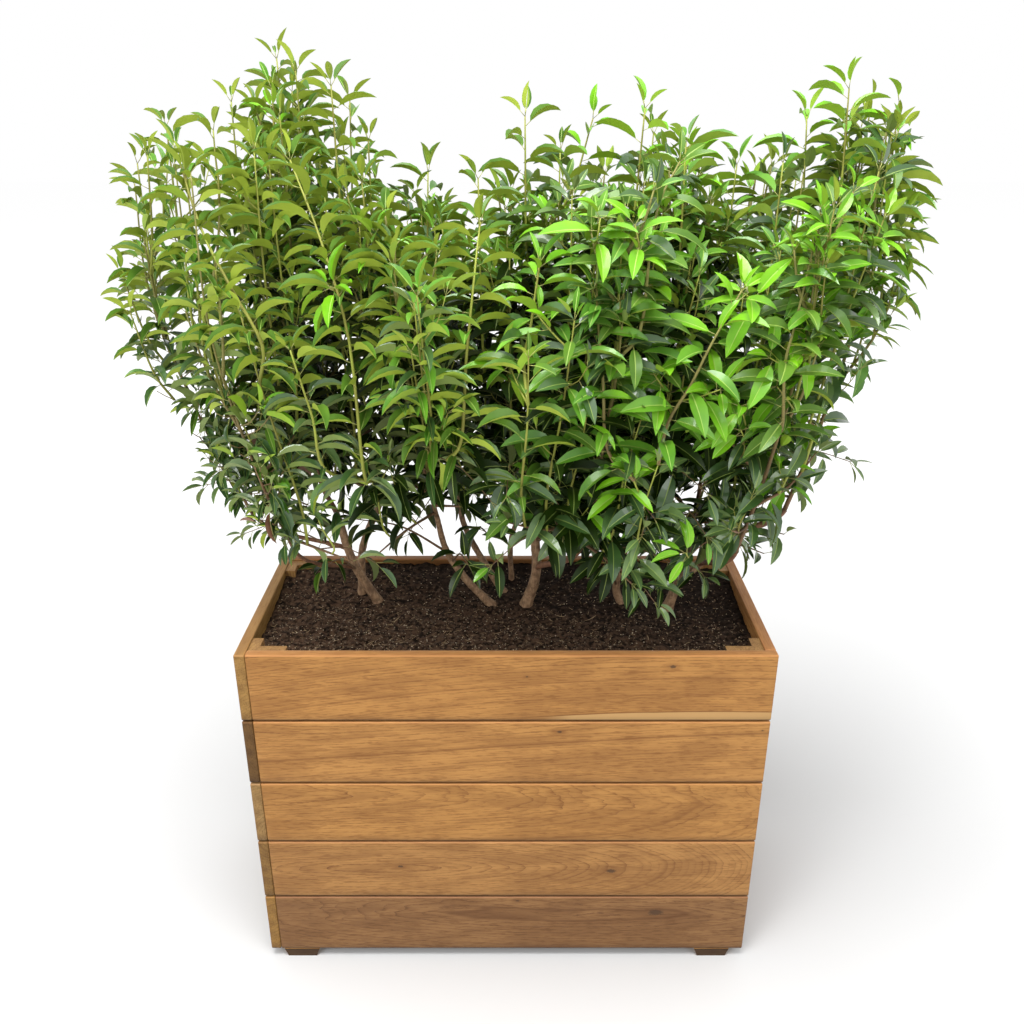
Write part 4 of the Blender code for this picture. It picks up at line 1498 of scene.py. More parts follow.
def short_twigs_on(name, draw):
    """Short leafy twigs on the front of a mass's leader, where it would show bare."""
    path, directions, _radius = leader_course(name, list(MASSES).index(name), LEADER_STEPS)
    total = length_of(path)
    turn = draw.uniform(0, 2 * math.pi)
    for step in range(int((total - SHORT_TWIG_FIRST) / SHORT_TWIG_EVERY)):
        share = (SHORT_TWIG_FIRST + step * SHORT_TWIG_EVERY) / total
        root = between(path, share)
        along = between(directions, share).normalized()
        if not SHORT_TWIG_HEIGHTS[0] < root.z < SHORT_TWIG_HEIGHTS[1]:
            continue
        for attempt in range(SHORT_TWIG_TRIES):
            leaving = turned(along, SHORT_TWIG_TILT, turn + GOLDEN_TURN * (step + 3 * attempt))
            if leaving.y > SHORT_TWIG_BACKWARD or leaving.x < SHORT_TWIG_OUTWARD:
                continue
            length = draw.uniform(*SHORT_TWIG_LENGTHS)
            twig = side_twig(root, leaving, length, SHORT_TWIG_RISE, "short")
            outer = twig.path[2:]
            room = inside_crown(outer, below=SHORT_TWIG_BELOW, sides=SHORT_TWIG_BEYOND).all()
            if room and clear_of_limbs(outer[1:], TWIG_CLEARANCE):
                yield twig
                break


# %% [markdown]
# A mass is grown in one go: the leader and its side shoots, then the risers along every shoot,
# then the spurs and the hanging twigs.

# %% Growing a mass
def grow_mass(name, number):
    draw = random.Random(SEED + number)
    path, _directions, _radius = leader_course(name, number, PLAIN_LEADER_STEPS)
    shoots = list(side_shoots(number, path, draw))
    path, directions, radius = leader_course(name, number, LEADER_STEPS)
    radius *= LEFT_SLIMMER if MASSES[name][0] in LEFT_LIMBS else 1.0
    leader = Twig(path, directions, radius, LEADER_TIP_RADIUS, "leader", number)
    risers = []
    for shoot in shoots:
        total = length_of(shoot.path)
        count = max(1, 1 + int((total - RISER_FIRST) / RISER_EVERY))
        for step in range(count):
            share = min(1.0, (RISER_FIRST + step * RISER_EVERY) / total)
            root = between(shoot.path, share)
            risers.append(riser_from(number, root, between(shoot.directions, share), draw))
    risers = [riser for riser in risers if riser]
    spurs = [spur for twig in [leader, *risers] for spur in spurs_on(twig, draw)]
    skirts = [skirt for shoot in shoots for skirt in skirts_on(shoot, draw)]
    return [leader, *shoots, *risers, *spurs, *skirts]


twigs = [twig for number, name in enumerate(MASSES) for twig in grow_mass(name, number)]
short_draw = random.Random(SEED)
twigs += [twig for name in LEFT_MASSES for twig in short_twigs_on(name, short_draw)]

# %% [markdown]
# Some twigs are placed one by one. Low ones leave the stems and hang over the soil, and one of
# them is long and crosses from the middle to the left. At the front, sprays of fresh lime leaves
# stand out of the crown, each on a short spur from the nearest twig. On top, single shoots stand
# out above the rest and make the crown's edge uneven. Strong young shoots rise in front of the
# others, with tiers of leaves on both sides, and small-leaved sprigs stick out at the sides.

# %% Low twigs, fresh sprays and top shoots
LOW_TWIGS = (
    ("stem_left_outer", 0.40, (-0.346, -0.100, 0.870)),
    ("stem_centre_lean", 0.62, (-0.292, -0.010, 0.930)),
    ("stem_centre_lean", 0.52, (-0.070, -0.110, 0.880)),
    ("stem_centre_back", 0.60, (-0.030, -0.030, 0.900)),
    ("stem_centre_main", 0.85, (0.170, -0.150, 0.962)),
    ("stem_right_inner", 0.45, (0.185, -0.120, 0.890)),
    ("stem_right_inner", 0.70, (0.285, -0.160, 0.865)),
    ("stem_right_inner", 0.90, (0.170, -0.020, 0.930)),
    ("stem_right_outer", 0.45, (0.370, -0.120, 0.860)),
    ("stem_right_outer", 0.75, (0.500, -0.040, 0.870)),
    ("stem_right_outer", 0.95, (0.525, -0.070, 0.925)),
)
LOW_RADII = (0.0028, 0.0010)
LOW_ARCH = 0.02
FRESH_DEPTH = -0.26
FRESH_SPRAYS = (
    (0.005, 1.306), (0.050, 1.378), (0.198, 1.136), (0.304, 0.978), (0.376, 1.195),
    (0.140, 1.521), (0.191, 1.511), (0.363, 1.410), (0.371, 1.235), (0.409, 1.313),
    (0.232, 1.287), (0.478, 1.511), (0.338, 1.262), (0.425, 1.268), (-0.262, 1.420),
)
FRESH_RADII = (0.0016, 0.0012)
FRESH_ROOTS_BELOW = 0.035
FRESH_BOW = Vector((0, -0.012, 0))
TOP_SHOOTS = (
    (-0.573, -0.08, 1.598), (-0.563, 0.00, 1.640), (-0.459, 0.03, 1.676), (-0.381, 0.05, 1.742),
    (-0.341, 0.00, 1.722), (-0.278, -0.04, 1.700), (-0.268, 0.08, 1.678), (-0.229, 0.00, 1.617),
    (-0.135, 0.05, 1.563), (-0.043, -0.10, 1.564), (0.032, -0.05, 1.655), (0.091, -0.02, 1.602),
    (0.150, 0.06, 1.650), (0.228, -0.02, 1.667), (0.285, -0.10, 1.618), (0.349, 0.12, 1.579),
    (0.390, 0.00, 1.579), (0.441, -0.10, 1.588), (0.513, 0.05, 1.653), (0.550, -0.04, 1.696),
    (0.597, 0.10, 1.630), (0.575, 0.02, 1.640), (0.625, -0.05, 1.625), (0.310, 0.02, 1.600),
    (0.255, 0.06, 1.625), (0.638, 0.10, 1.677), (0.648, 0.00, 1.677), (-0.668, -0.02, 1.400),
    (-0.652, 0.07, 1.365), (-0.640, -0.08, 1.345),
)
TOP_SHOOT_RADII = (0.0026, 0.0012)
TOP_SHOOT_RISE = (0.16, 0.34)
TOP_SHOOT_ELBOW = (0.55, 0.35)
FRONT_SHOOTS = (
    ((-0.231, -0.257, 1.126), (-0.237, -0.272, 1.339), (-0.274, -0.232, 1.477), (-0.329, -0.154, 1.594)),
    ((-0.370, -0.273, 1.336), (-0.411, -0.257, 1.417), (-0.459, -0.216, 1.501), (-0.505, -0.143, 1.608)),
    ((-0.070, -0.264, 1.180), (-0.059, -0.277, 1.314), (-0.044, -0.250, 1.450), (-0.037, -0.210, 1.509)),
    ((0.164, -0.262, 1.162), (0.152, -0.277, 1.274), (0.139, -0.260, 1.402), (0.141, -0.210, 1.509)),
    ((0.206, -0.268, 1.358), (0.219, -0.236, 1.472), (0.236, -0.191, 1.538), (0.268, -0.156, 1.592)),
    ((0.258, -0.268, 1.211), (0.287, -0.276, 1.272), (0.316, -0.272, 1.339), (0.358, -0.257, 1.416)),
    ((0.439, -0.269, 1.215), (0.429, -0.279, 1.306), (0.441, -0.267, 1.367), (0.468, -0.227, 1.485)),
    ((-0.293, -0.257, 1.126), (-0.303, -0.269, 1.215), (-0.313, -0.275, 1.266), (-0.328, -0.274, 1.328)),
    ((0.029, -0.277, 1.314), (0.038, -0.269, 1.356), (0.047, -0.257, 1.416), (0.053, -0.246, 1.456)),
)
FRONT_RADII = (0.0031, 0.0014)
FRONT_ROOTS_BELOW = 0.04
SPRIGS = (
    (-0.505, -0.02, 0.905), (-0.575, 0.00, 0.998), (0.655, 0.00, 1.045), (-0.455, -0.10, 0.960),
    (-0.485, -0.08, 1.010), (-0.510, -0.10, 1.070), (-0.550, 0.04, 1.110), (-0.505, 0.08, 0.985),
    (-0.565, -0.04, 1.165),
)
SPRIG_RADII = (0.0015, 0.0008)
SPRIG_REACH = 0.13
SPRIG_ARCH = 0.012


def nearest_spot(place, allowed, flat=False):
    """The spot on the grown twigs that lies nearest to a place, among those that are allowed."""
    spots = (spot for twig in twigs for spot in twig.path if allowed(spot))
    return min(spots, key=lambda spot: ((spot - place).to_2d() if flat else spot - place).length)


def low_twig(limb, share, tip):
    root = between(stem_course(limb, FINE)[0], share)
    return grown([root, root.lerp(Vector(tip), 0.5) + LOW_ARCH * UP, tip], 5, LOW_RADII, "low")


def fresh_spray(x, z):
    """A spur to a place at the crown's front from the nearest twig that lies lower."""
    tip = Vector((x, FRESH_DEPTH, z))
    root = nearest_spot(tip, lambda spot: spot.z < z - FRESH_ROOTS_BELOW)
    return grown([root, root.lerp(tip, 0.5) + FRESH_BOW, tip], 3, FRESH_RADII, "fresh")


def top_shoot(x, y, z):
    """A shoot to a place at the crown's top from a twig that passes nearly under it."""
    tip = Vector((x, y, z))
    root = nearest_spot(tip, lambda spot: TOP_SHOOT_RISE[0] < z - spot.z < TOP_SHOOT_RISE[1], flat=True)
    across, up = TOP_SHOOT_ELBOW
    elbow = Vector((*root.lerp(tip, across).to_2d(), root.lerp(tip, up).z))
    return grown([root, elbow, tip], 5, TOP_SHOOT_RADII, "top")


def front_shoot(*places):
    """A strong shoot through places at the crown's front, from the nearest twig under the first."""
    first = Vector(places[0])
    root = nearest_spot(first, lambda spot: spot.z < first.z - FRONT_ROOTS_BELOW)
    return grown([root, *places], 4, FRONT_RADII, "front")


def sprig(x, y, z):
    """A thin twig to a place out at the side, from the nearest twig further in."""
    tip = Vector((x, y, z))
    root = nearest_spot(tip, lambda spot: abs(spot.x) < abs(x) - SPRIG_REACH)
    return grown([root, root.lerp(tip, 0.5) + SPRIG_ARCH * UP, tip], 4, SPRIG_RADII, "sprig")


PLACED = (
    (low_twig, LOW_TWIGS),
    (fresh_spray, FRESH_SPRAYS),
    (top_shoot, TOP_SHOOTS),
    (front_shoot, FRONT_SHOOTS),
    (sprig, SPRIGS),
)
twigs += [grow(*place) for grow, places in PLACED for place in places]
for kind, count in collections.Counter(twig.kind for twig in twigs).items():
    print(count, "twigs of kind", kind)

# %% [markdown]
# ## Leaves
#
# A leaf of this laurel is long and pointed, and it arches over from a short stalk. Its face is
# glossy and its back is paler and dull. Left of the middle the leaves are folded up along their
# midribs and held level, so that their pale backs show. To the right they are open, hang more
# and turn their faces outward.
#
# Leaves stand in a spiral up every twig, with a tuft at its tip. Each kind of twig has its own
# spacing of leaves and its own bare stretch at the foot, and a fresh spray has leaves only near
# its tip. A twig has one tone, which most of its leaves share. Leaves deep in the crown get a
# nearly black painted shade, low ones turn dark as painted shade or dusky, a greyer green that is
# partly a painted sheen, high ones are less often dark, as painted light, and a few at the lower
# left are dead.

# %% Where the leaves stand
Kind = collections.namedtuple("Kind", "spacing bare sides")
KINDS = {
    "leader": Kind(0.0165, 0.060, 7),
    "shoot": Kind(0.0190, 0.030, 6),
    "riser": Kind(0.0138, 0.022, 5),
    "spur": Kind(0.0125, 0.014, 4),
    "skirt": Kind(0.0130, 0.012, 3),
    "short": Kind(0.0125, 0.012, 4),
    "low": Kind(0.0180, 0.065, 6),
    "fresh": Kind(0.0065, None, 5),
    "top": Kind(0.0135, 0.030, 5),
    "front": Kind(0.0125, 0.040, 7),
    "sprig": Kind(0.0150, 0.050, 4),
}
LEAF_LENGTHS = (0.061, 0.092)
SMALLER_LOW = ((0.86, 1.08), (0.84, 1.0))
SMALLER_TO_THE_LEFT = ((-0.60, -0.30, 0.10), (0.79, 0.86, 1.0))
SMALLER_ON_SPRIGS = 0.84
FRESH_STRETCH = 0.036
YOUNG_STRETCH = 0.08
YOUNG_SMALLER = 0.35
YOUNG_CLOSER = 0.25
YOUNG_STIFFER = 0.2
LESS_YOUNG = ("skirt", "short", "low", "fresh", "top")
LESS_YOUNG_SHARE = 0.4
LIME_OVER = 0.1
LEAF_TOSS = 0.28
AZIMUTH_TOSS = 0.25
TIP_TUFT = 3
FIRST_LEAF_AT = 0.2
LEAF_SINKS = 0.001
CARRIAGES = {
    "fold": ((44.0, 62.0), (12.0, 34.0)),
    "opening": ((56.0, 78.0), (62.0, 102.0)),
    "droop": ((38.0, 62.0), (28.0, 64.0)),
}
TUFT = ((0.028, 0.050), (12.0, 48.0), (10.0, 45.0))
SPRAY_TUFT = ((0.040, 0.060), (35.0, 90.0), (25.0, 60.0))
FOLDED_TO_OPEN = (-0.08, 0.15)
FOLD_TOSS = 0.12
OPENS_SOONER_LOW = ((0.98, 1.16), (0.15, 0.0))
OPEN_LEAVES_LEAN = 0.55

Leaf = collections.namedtuple("Leaf", "root outward face_up length tone fold droop kind")
LIVE_TONES = ("olive", "green", "dark")
OLIVE_SHARE = ((-0.6, -0.1, 0.2, 0.7), (0.84, 0.66, 0.16, 0.08))
MORE_OLIVE_HIGH = ((1.42, 1.58), (0.0, 0.40))
DARK_SHARE = ((-0.6, -0.1, 0.2, 0.7), (0.02, 0.10, 0.32, 0.40))
# Painted light: fewer dark leaves high up, on the crown's top.
PAINTED_LIGHT_HIGH = ((1.42, 1.58), (1.0, 0.5))
# Painted shade: more dark leaves low down.
PAINTED_SHADE_LOW = ((0.90, 1.20), (0.75, 0.0))
DUSKY_CHANCE = ((0.95, 1.30), (0.60, 0.15))
STRAY_CHANCE = 0.15
# Painted shade low down: leaves under these heights turn dark, or dusky, which is partly a painted sheen.
LOW_TONES_TO = ((-0.60, -0.30, 0.00, 0.60), (1.32, 1.22, 1.06, 1.14))
LOW_TONE_TOSS = 0.06
LOW_TONE_SHARE = 0.84
LOW_DUSKY_CHANCE = ((-0.35, -0.10), (0.30, 0.55))
FRESH_ABOVE = 1.00
FRESH_CHANCE = ((-0.5, -0.2, 0.0, 0.6), (0.02, 0.10, 0.28, 0.27))
# Painted shade: how deep in the crown leaves turn nearly black, and how likely, sooner low than high.
SHADE_STARTS = ((1.15, 1.50), (0.045, 0.155))
SHADE_FULL_AFTER = 0.12
SHADE_CHANCE = ((1.35, 1.60), (0.85, 0.45))
WITHERED_BELOW = 1.15
WITHERED_LEFT_OF = -0.20
WITHERED_SHARE = 0.010


def buried(place):
    """How deep a place lies in the crown, in metres from its side or top."""
    from_side = (1 - float(outwardness(place.x, place.y, place.z))) * CROWN_REACH_Y
    return min(from_side, float(top_edge(place.x, place.y)) - place.z)


def in_shade(place, draw):
    """Whether a leaf takes the nearly black painted shade of the crown's inside, sooner low than high."""
    starts = numpy.interp(place.z, *SHADE_STARTS)
    most = numpy.interp(place.z, *SHADE_CHANCE)
    return draw.random() < numpy.interp(buried(place), (starts, starts + SHADE_FULL_AFTER), (0.0, most))


def folded_share(x, z, draw):
    """1 for a folded and level leaf, to the left of the plant, and 0 for an open, hanging one."""
    place = x + draw.uniform(-FOLD_TOSS, FOLD_TOSS) + float(numpy.interp(z, *OPENS_SOONER_LOW))
    return float(numpy.interp(place, FOLDED_TO_OPEN, (1.0, 0.0)))


def carriage(key, folded, draw):
    """An angle of a leaf that is folded by a share."""
    level, hanging = CARRIAGES[key]
    return math.radians(draw.uniform(*level) * folded + draw.uniform(*hanging) * (1 - folded))


def tone_of(twig, draw):
    """Leaf colour of a twig: olive left, darker right, with painted shade low and painted light high."""
    middle = between(twig.path, 0.5)
    top = twig.path[-1].z
    olive = numpy.interp(middle.x, *OLIVE_SHARE) + numpy.interp(top, *MORE_OLIVE_HIGH)
    dark = numpy.interp(middle.x, *DARK_SHARE) * numpy.interp(top, *PAINTED_LIGHT_HIGH)
    dark += numpy.interp(middle.z, *PAINTED_SHADE_LOW)
    pick = draw.random()
    if pick < dark:
        return "dusky" if draw.random() < numpy.interp(middle.z, *DUSKY_CHANCE) else "dark"
    return "olive" if pick < dark + olive * (1 - dark) else "green"


def tone_at(root, kind, own, draw):
    """The colour of one leaf, from that of its twig and from where the leaf stands."""
    pick = draw.random()
    if own != "lime" and pick < STRAY_CHANCE:
        own = draw.choice(LIVE_TONES[:2] if root.x < 0 else LIVE_TONES)
    # Low leaves turn dark, as painted shade, or dusky, partly a painted sheen.
    low = numpy.interp(root.x, *LOW_TONES_TO) + draw.uniform(-LOW_TONE_TOSS, LOW_TONE_TOSS)
    if own in LIVE_TONES[:2] and kind != "fresh" and root.z < low and draw.random() < LOW_TONE_SHARE:
        own = "dusky" if draw.random() < numpy.interp(root.x, *LOW_DUSKY_CHANCE) else "dark"
    # Leaves deep in the crown take the shade tone: painted shade.
    if kind not in ("fresh", "top", "front") and in_shade(root, draw):
        own = "shade"
    if root.z < WITHERED_BELOW and root.x < WITHERED_LEFT_OF and pick > 1 - WITHERED_SHARE:
        own = "withered"
    return own


def leaves_on(twig, draw):
    """The leaves up a twig, the first above its bare stretch and the last in a tuft at its tip."""
    kind = KINDS[twig.kind]
    total = length_of(twig.path)
    bare = kind.bare or max(0.0, total - FRESH_STRETCH)
    count = int((total - bare) / kind.spacing)
    turn = draw.uniform(0, 2 * math.pi)
    tone = tone_of(twig, draw)
    tip = twig.path[-1]
    chance = numpy.interp(tip.x, *FRESH_CHANCE) if tip.z > FRESH_ABOVE else 0.0
    fresh = twig.kind == "fresh" or draw.random() < chance
    for step in range(count + TIP_TUFT):
        azimuth = turn + GOLDEN_TURN * step + draw.uniform(-AZIMUTH_TOSS, AZIMUTH_TOSS)
        face_up = Vector((LEAF_TOSS * draw.uniform(-1, 1), LEAF_TOSS * draw.uniform(-1, 1), 1))
        share = min(1.0, (bare + (total - bare) * (step + FIRST_LEAF_AT) / max(count, 1)) / total)
        root = between(twig.path, share)
        young = max(0.0, 1 - total * (1 - share) / YOUNG_STRETCH)
        if twig.kind in LESS_YOUNG:
            young *= LESS_YOUNG_SHARE
        length = draw.uniform(*LEAF_LENGTHS) * (1 - YOUNG_SMALLER * young)
        length *= numpy.interp(root.x, *SMALLER_TO_THE_LEFT)
        length *= numpy.interp(root.z, *SMALLER_LOW)
        if twig.kind == "sprig":
            length *= SMALLER_ON_SPRIGS
        folded = 1.0 if twig.kind == "top" else folded_share(root.x, root.z, draw)
        outer = Vector((root.x / CROWN_REACH_X**2, root.y / CROWN_REACH_Y**2, 0.0)).normalized()
        face_up += (1 - folded) * OPEN_LEAVES_LEAN * outer
        opening = carriage("opening", folded, draw) * (1 - YOUNG_CLOSER * young)
        droop = carriage("droop", folded, draw) * (1 - YOUNG_STIFFER * young)
        if step >= count:
            lengths, openings, droops = SPRAY_TUFT if twig.kind == "fresh" else TUFT
            length = draw.uniform(*lengths)
            opening = math.radians(draw.uniform(*openings))
            droop = math.radians(draw.uniform(*droops))
        along = between(twig.directions, share).normalized()
        own_tone = tone_at(root, twig.kind, "lime" if fresh and young > LIME_OVER else tone, draw)
        fold = carriage("fold", folded, draw)
        outward = turned(along, opening, azimuth)
        yield Leaf(root - LEAF_SINKS * along, outward, face_up, length, own_tone, fold, droop, twig.kind)


leaf_draw = random.Random(SEED)
leaves = [leaf for twig in twigs for leaf in leaves_on(twig, leaf_draw)]
print(len(leaves), "places for leaves")

# %% [markdown]
# Each leaf is a thin closed shape: five strips along its length make the two halves of the face,
# the pale midrib between them, and the two halves of the back, which meet in a keel. All leaves
# are worked out together, as arrays, because thousands are needed.

# %% Leaf shapes as arrays
STALK = 0.012
STALK_RADIUS = 0.00065
DROOP_GROWS = 1.1
STATIONS = (0.0, 0.10, 0.27, 0.46, 0.66, 0.85, 1.0)
OUTLINE = (0.0, 0.50, 0.89, 1.0, 0.84, 0.44, 0.0)
LEAF_WIDTH = 0.385
WIDTH_TOSS = (0.88, 1.12)
OPEN_LEAVES_NARROWER = ((math.radians(30.0), math.radians(45.0)), (0.89, 1.0))
MIDRIB_WIDTHS = (0.0022, 0.0007)
KEEL_DEPTHS = (0.0009, 0.0003)
LEAF_SIZES = (1.0, 0.82, 0.66)
ACROSS_CORNERS = 5


def unit(rows):
    return rows / numpy.linalg.norm(rows, axis=1, keepdims=True)


def leaf_points(roots, outward, face_up, lengths, folds, droops, widths):
    """All the corners of many leaves: base, five corners at each inner station, and tip."""
    across = unit(numpy.cross(outward, face_up))
    upright = numpy.cross(across, outward)
    middle = roots + STALK * outward
    rows = [middle[:, None, :]]
    for index in range(1, len(STATIONS)):
        step = STATIONS[index] - STATIONS[index - 1]
        here = (STATIONS[index] + STATIONS[index - 1]) / 2
        bend = (droops * here**DROOP_GROWS)[:, None]
        middle = middle + step * lengths[:, None] * (numpy.cos(bend) * outward - numpy.sin(bend) * upright)
        if index == len(STATIONS) - 1:
            rows.append(middle[:, None, :])
            break
        turn = (droops * STATIONS[index] ** DROOP_GROWS)[:, None]
        normal = numpy.cos(turn) * upright + numpy.sin(turn) * outward
        half = (widths * lengths / 2 * OUTLINE[index])[:, None]
        rib = numpy.interp(STATIONS[index], (0, 1), MIDRIB_WIDTHS) / 2
        keel = numpy.interp(STATIONS[index], (0, 1), KEEL_DEPTHS)
        side = numpy.cos(folds)[:, None] * across
        lift = numpy.sin(folds)[:, None] * normal
        corners = (
            middle + half * (side + lift),
            middle + rib * (side + lift),
            middle + rib * (lift - side),
            middle + half * (lift - side),
            middle - keel * normal,
        )
        rows.append(numpy.stack(corners, axis=1))
    return numpy.concatenate(rows, axis=1)


def leaf_faces():
    """Faces of one leaf, and the finish of each: 0 for the face, 1 for the midrib, 2 for the back."""
    faces = []
    finishes = []
    strips = ((0, 1, 0), (1, 2, 1), (2, 3, 0), (3, 4, 2), (4, 0, 2))
    inner = len(STATIONS) - 2
    tip = 1 + inner * ACROSS_CORNERS
    for a, b, finish_index in strips:
        for row in range(inner + 1):
            low = 1 + (row - 1) * ACROSS_CORNERS
            high = 1 + row * ACROSS_CORNERS
            if row == 0:
                face = (0, high + b, high + a)
            elif row == inner:
                face = (low + a, low + b, tip)
            else:
                face = (low + a, low + b, high + b, high + a)
            faces.append(face[::-1])
            finishes.append(finish_index)
    return faces, finishes


# %% [markdown]
# A leaf that would leave the crown's reach is made smaller, and left out if that doesn't help.
# One that would cut through a limb is left out too. Sky shows through the plant low down between
# its stems, and the stems themselves show at the soil, so most leaves are left out there. Each of
# those openings is an oval at the middle of the planter, and it runs through the crown along the
# line of sight. The left side's outer leaves are thinned a little too, but not those of sprays,
# sprigs, top shoots and front shoots.

# %% Choose the leaves that fit
OPENINGS = (
    (-0.148, 0.915, 0.080, 0.048), (-0.027, 0.874, 0.032, 0.020), (0.110, 0.960, 0.027, 0.019),
    (0.269, 0.896, 0.035, 0.024), (0.310, 0.987, 0.031, 0.045), (0.366, 0.966, 0.029, 0.031),
    (-0.212, 1.032, 0.027, 0.024), (-0.280, 0.830, 0.045, 0.060), (0.047, 0.842, 0.022, 0.080),
    (-0.384, 0.881, 0.055, 0.031),
)
OPENING_CLEARED = 0.78
KEPT = ((-0.70, -0.50, -0.42, -0.15, 0.05), (0.58, 0.68, 0.82, 0.92, 1.0))
KEPT_ABOVE = 1.10
KEPT_DEPTH = 0.10
BEYOND_SIDES = {"sprig": 1.35, "front": 1.12, "top": 1.06, "short": SHORT_TWIG_BEYOND}
LEAVES_BELOW = {"low": LOW_LEAF_BELOW, "short": SHORT_TWIG_BELOW}
NEVER_THINNED = ("fresh", "top", "front", "sprig")


def in_opening(places):
    """Which places lie in one of the openings, seen from the camera."""
    eye = numpy.array(CAMERA_PLACE)
    reach = -eye[1] / (places[:, 1] - eye[1])
    across, _depth, up = (eye + (places - eye) * reach[:, None]).T
    hit = [((across - x) / wide) ** 2 + ((up - z) / tall) ** 2 < 1 for x, z, wide, tall in OPENINGS]
    return numpy.any(hit, axis=0)


def column(field):
    """One field of all the leaves as an array."""
    values = [getattr(leaf, field) for leaf in leaves]
    return numpy.array([tuple(value) for value in values] if isinstance(values[0], Vector) else values)


def by_kind(values, usual):
    """A value for each leaf from its kind of twig."""
    return numpy.array([values.get(leaf.kind, usual) for leaf in leaves])


shape_draw = numpy.random.default_rng(SEED)
count = len(leaves)
roots = column("root")
outward = unit(column("outward"))
face_up = unit(column("face_up"))
full_lengths = column("length")
droops = column("droop")
folds = column("fold")
tones = column("tone")
reaches = by_kind(BEYOND_SIDES, 1.0)
heights = by_kind({"top": TOP_LEAF_ABOVE}, LEAF_ABOVE)
depths = by_kind(LEAVES_BELOW, LEAF_BELOW)
never_thinned = numpy.isin(column("kind"), NEVER_THINNED)
widths = LEAF_WIDTH * shape_draw.uniform(*WIDTH_TOSS, count)
widths *= numpy.interp(folds, *OPEN_LEAVES_NARROWER)
corner_count = 2 + (len(STATIONS) - 2) * ACROSS_CORNERS
corners = numpy.zeros((count, corner_count, 3))
fits = numpy.zeros(count, bool)
for size in LEAF_SIZES:
    left = numpy.flatnonzero(~fits)
    shape = (roots, outward, face_up, size * full_lengths, folds, droops, widths)
    tried = leaf_points(*(rows[left] for rows in shape))
    above, below, sides = (numpy.repeat(rows[left], corner_count) for rows in (heights, depths, reaches))
    reached = inside_crown(tried.reshape(-1, 3), above=above, below=below, sides=sides)
    good = reached.reshape(len(left), -1).all(axis=1)
    corners[left[good]] = tried[good]
    fits[left[good]] = True
spine_corners = [ACROSS_CORNERS, 3 * ACROSS_CORNERS, corner_count - 1]
for index in numpy.flatnonzero(fits):
    spine = [Vector(point) for point in corners[index][spine_corners]]
    fits[index] = clear_of_limbs(spine, TWIG_CLEARANCE)
middles = corners[:, 1 + 2 * ACROSS_CORNERS]
fits &= ~(in_opening(middles) & (shape_draw.random(count) < OPENING_CLEARED))
deep = numpy.array([buried(leaf.root) > KEPT_DEPTH or leaf.root.z < KEPT_ABOVE for leaf in leaves])
fits &= deep | never_thinned | (shape_draw.random(count) < numpy.interp(roots[:, 0], *KEPT))
print(int(fits.sum()), "leaves fit")

# %% [markdown]
# ## Leaf colours
#
# Left of the middle most leaves are olive, in the middle fresh green, and to the right dark and
# glossy. Low down they are dark too, as painted shade, or dusky, a greyer green that is partly a
# painted sheen of the sky. Leaves inside the crown are a nearly black painted shade, young tips
# are lime, and a few dead leaves are brown. The colours are plain ones, and each tone of leaf has
# three finishes: for the face, the midrib and the paler back.

# %% Leaf finishes
Tone = collections.namedtuple("Tone", "light deep back gloss shine")
TONES = {
    "olive": Tone((0.090, 0.184, 0.020), (0.055, 0.126, 0.013), (0.335, 0.432, 0.042), 0.04, 0.2),
    "green": Tone((0.116, 0.284, 0.020), (0.062, 0.182, 0.013), (0.306, 0.445, 0.048), 0.25, 0.35),
    "dark": Tone((0.056, 0.126, 0.028), (0.028, 0.074, 0.015), (0.180, 0.250, 0.054), 0.55, 0.5),
    # Dusky is a greyer green, partly a painted sheen of the sky. Shade is a nearly black painted shade for
    # leaves deep in the crown.
    "dusky": Tone((0.132, 0.216, 0.066), (0.066, 0.124, 0.036), (0.200, 0.265, 0.082), 0.42, 0.4),
    "shade": Tone((0.016, 0.036, 0.003), (0.010, 0.024, 0.002), (0.052, 0.070, 0.010), 0.02, 0.2),
    "lime": Tone((0.176, 0.425, 0.012), (0.112, 0.310, 0.009), (0.280, 0.460, 0.030), 0.12, 0.3),
    "withered": Tone((0.200, 0.095, 0.050), (0.110, 0.050, 0.030), (0.260, 0.150, 0.100), 0.0, 0.1),
}
MIDRIB_PALER = 0.55
MIDRIB_COLOUR = (0.36, 0.47, 0.11)
MIDRIB_DEEPER = 0.85
BACK_DEEPER = 0.82
LEAF_WAVE = 0.0004
MOST_LEAVES_IN_A_PIECE = 3800


def mark_strips(mesh):
    """Keep a leaf smooth along its length, and sharp where two of its strips meet."""
    ends = numpy.zeros(2 * len(mesh.edges), int)
    mesh.edges.foreach_get("vertices", ends)
    station = (ends.reshape(-1, 2) % corner_count + ACROSS_CORNERS - 1) // ACROSS_CORNERS
    sharp = mesh.attributes.new("sharp_edge", "BOOLEAN", "EDGE")
    sharp.data.foreach_set("value", station[:, 0] != station[:, 1])


def leaf_mesh(name, chosen):
    points = corners[chosen].reshape(-1, 3).tolist()
    faces = [
        [corner + corner_count * number for corner in face]
        for number in range(len(chosen))
        for face in face_pattern
    ]
    mesh = mesh_from(name, points, faces)
    mark_strips(mesh)
    return mesh


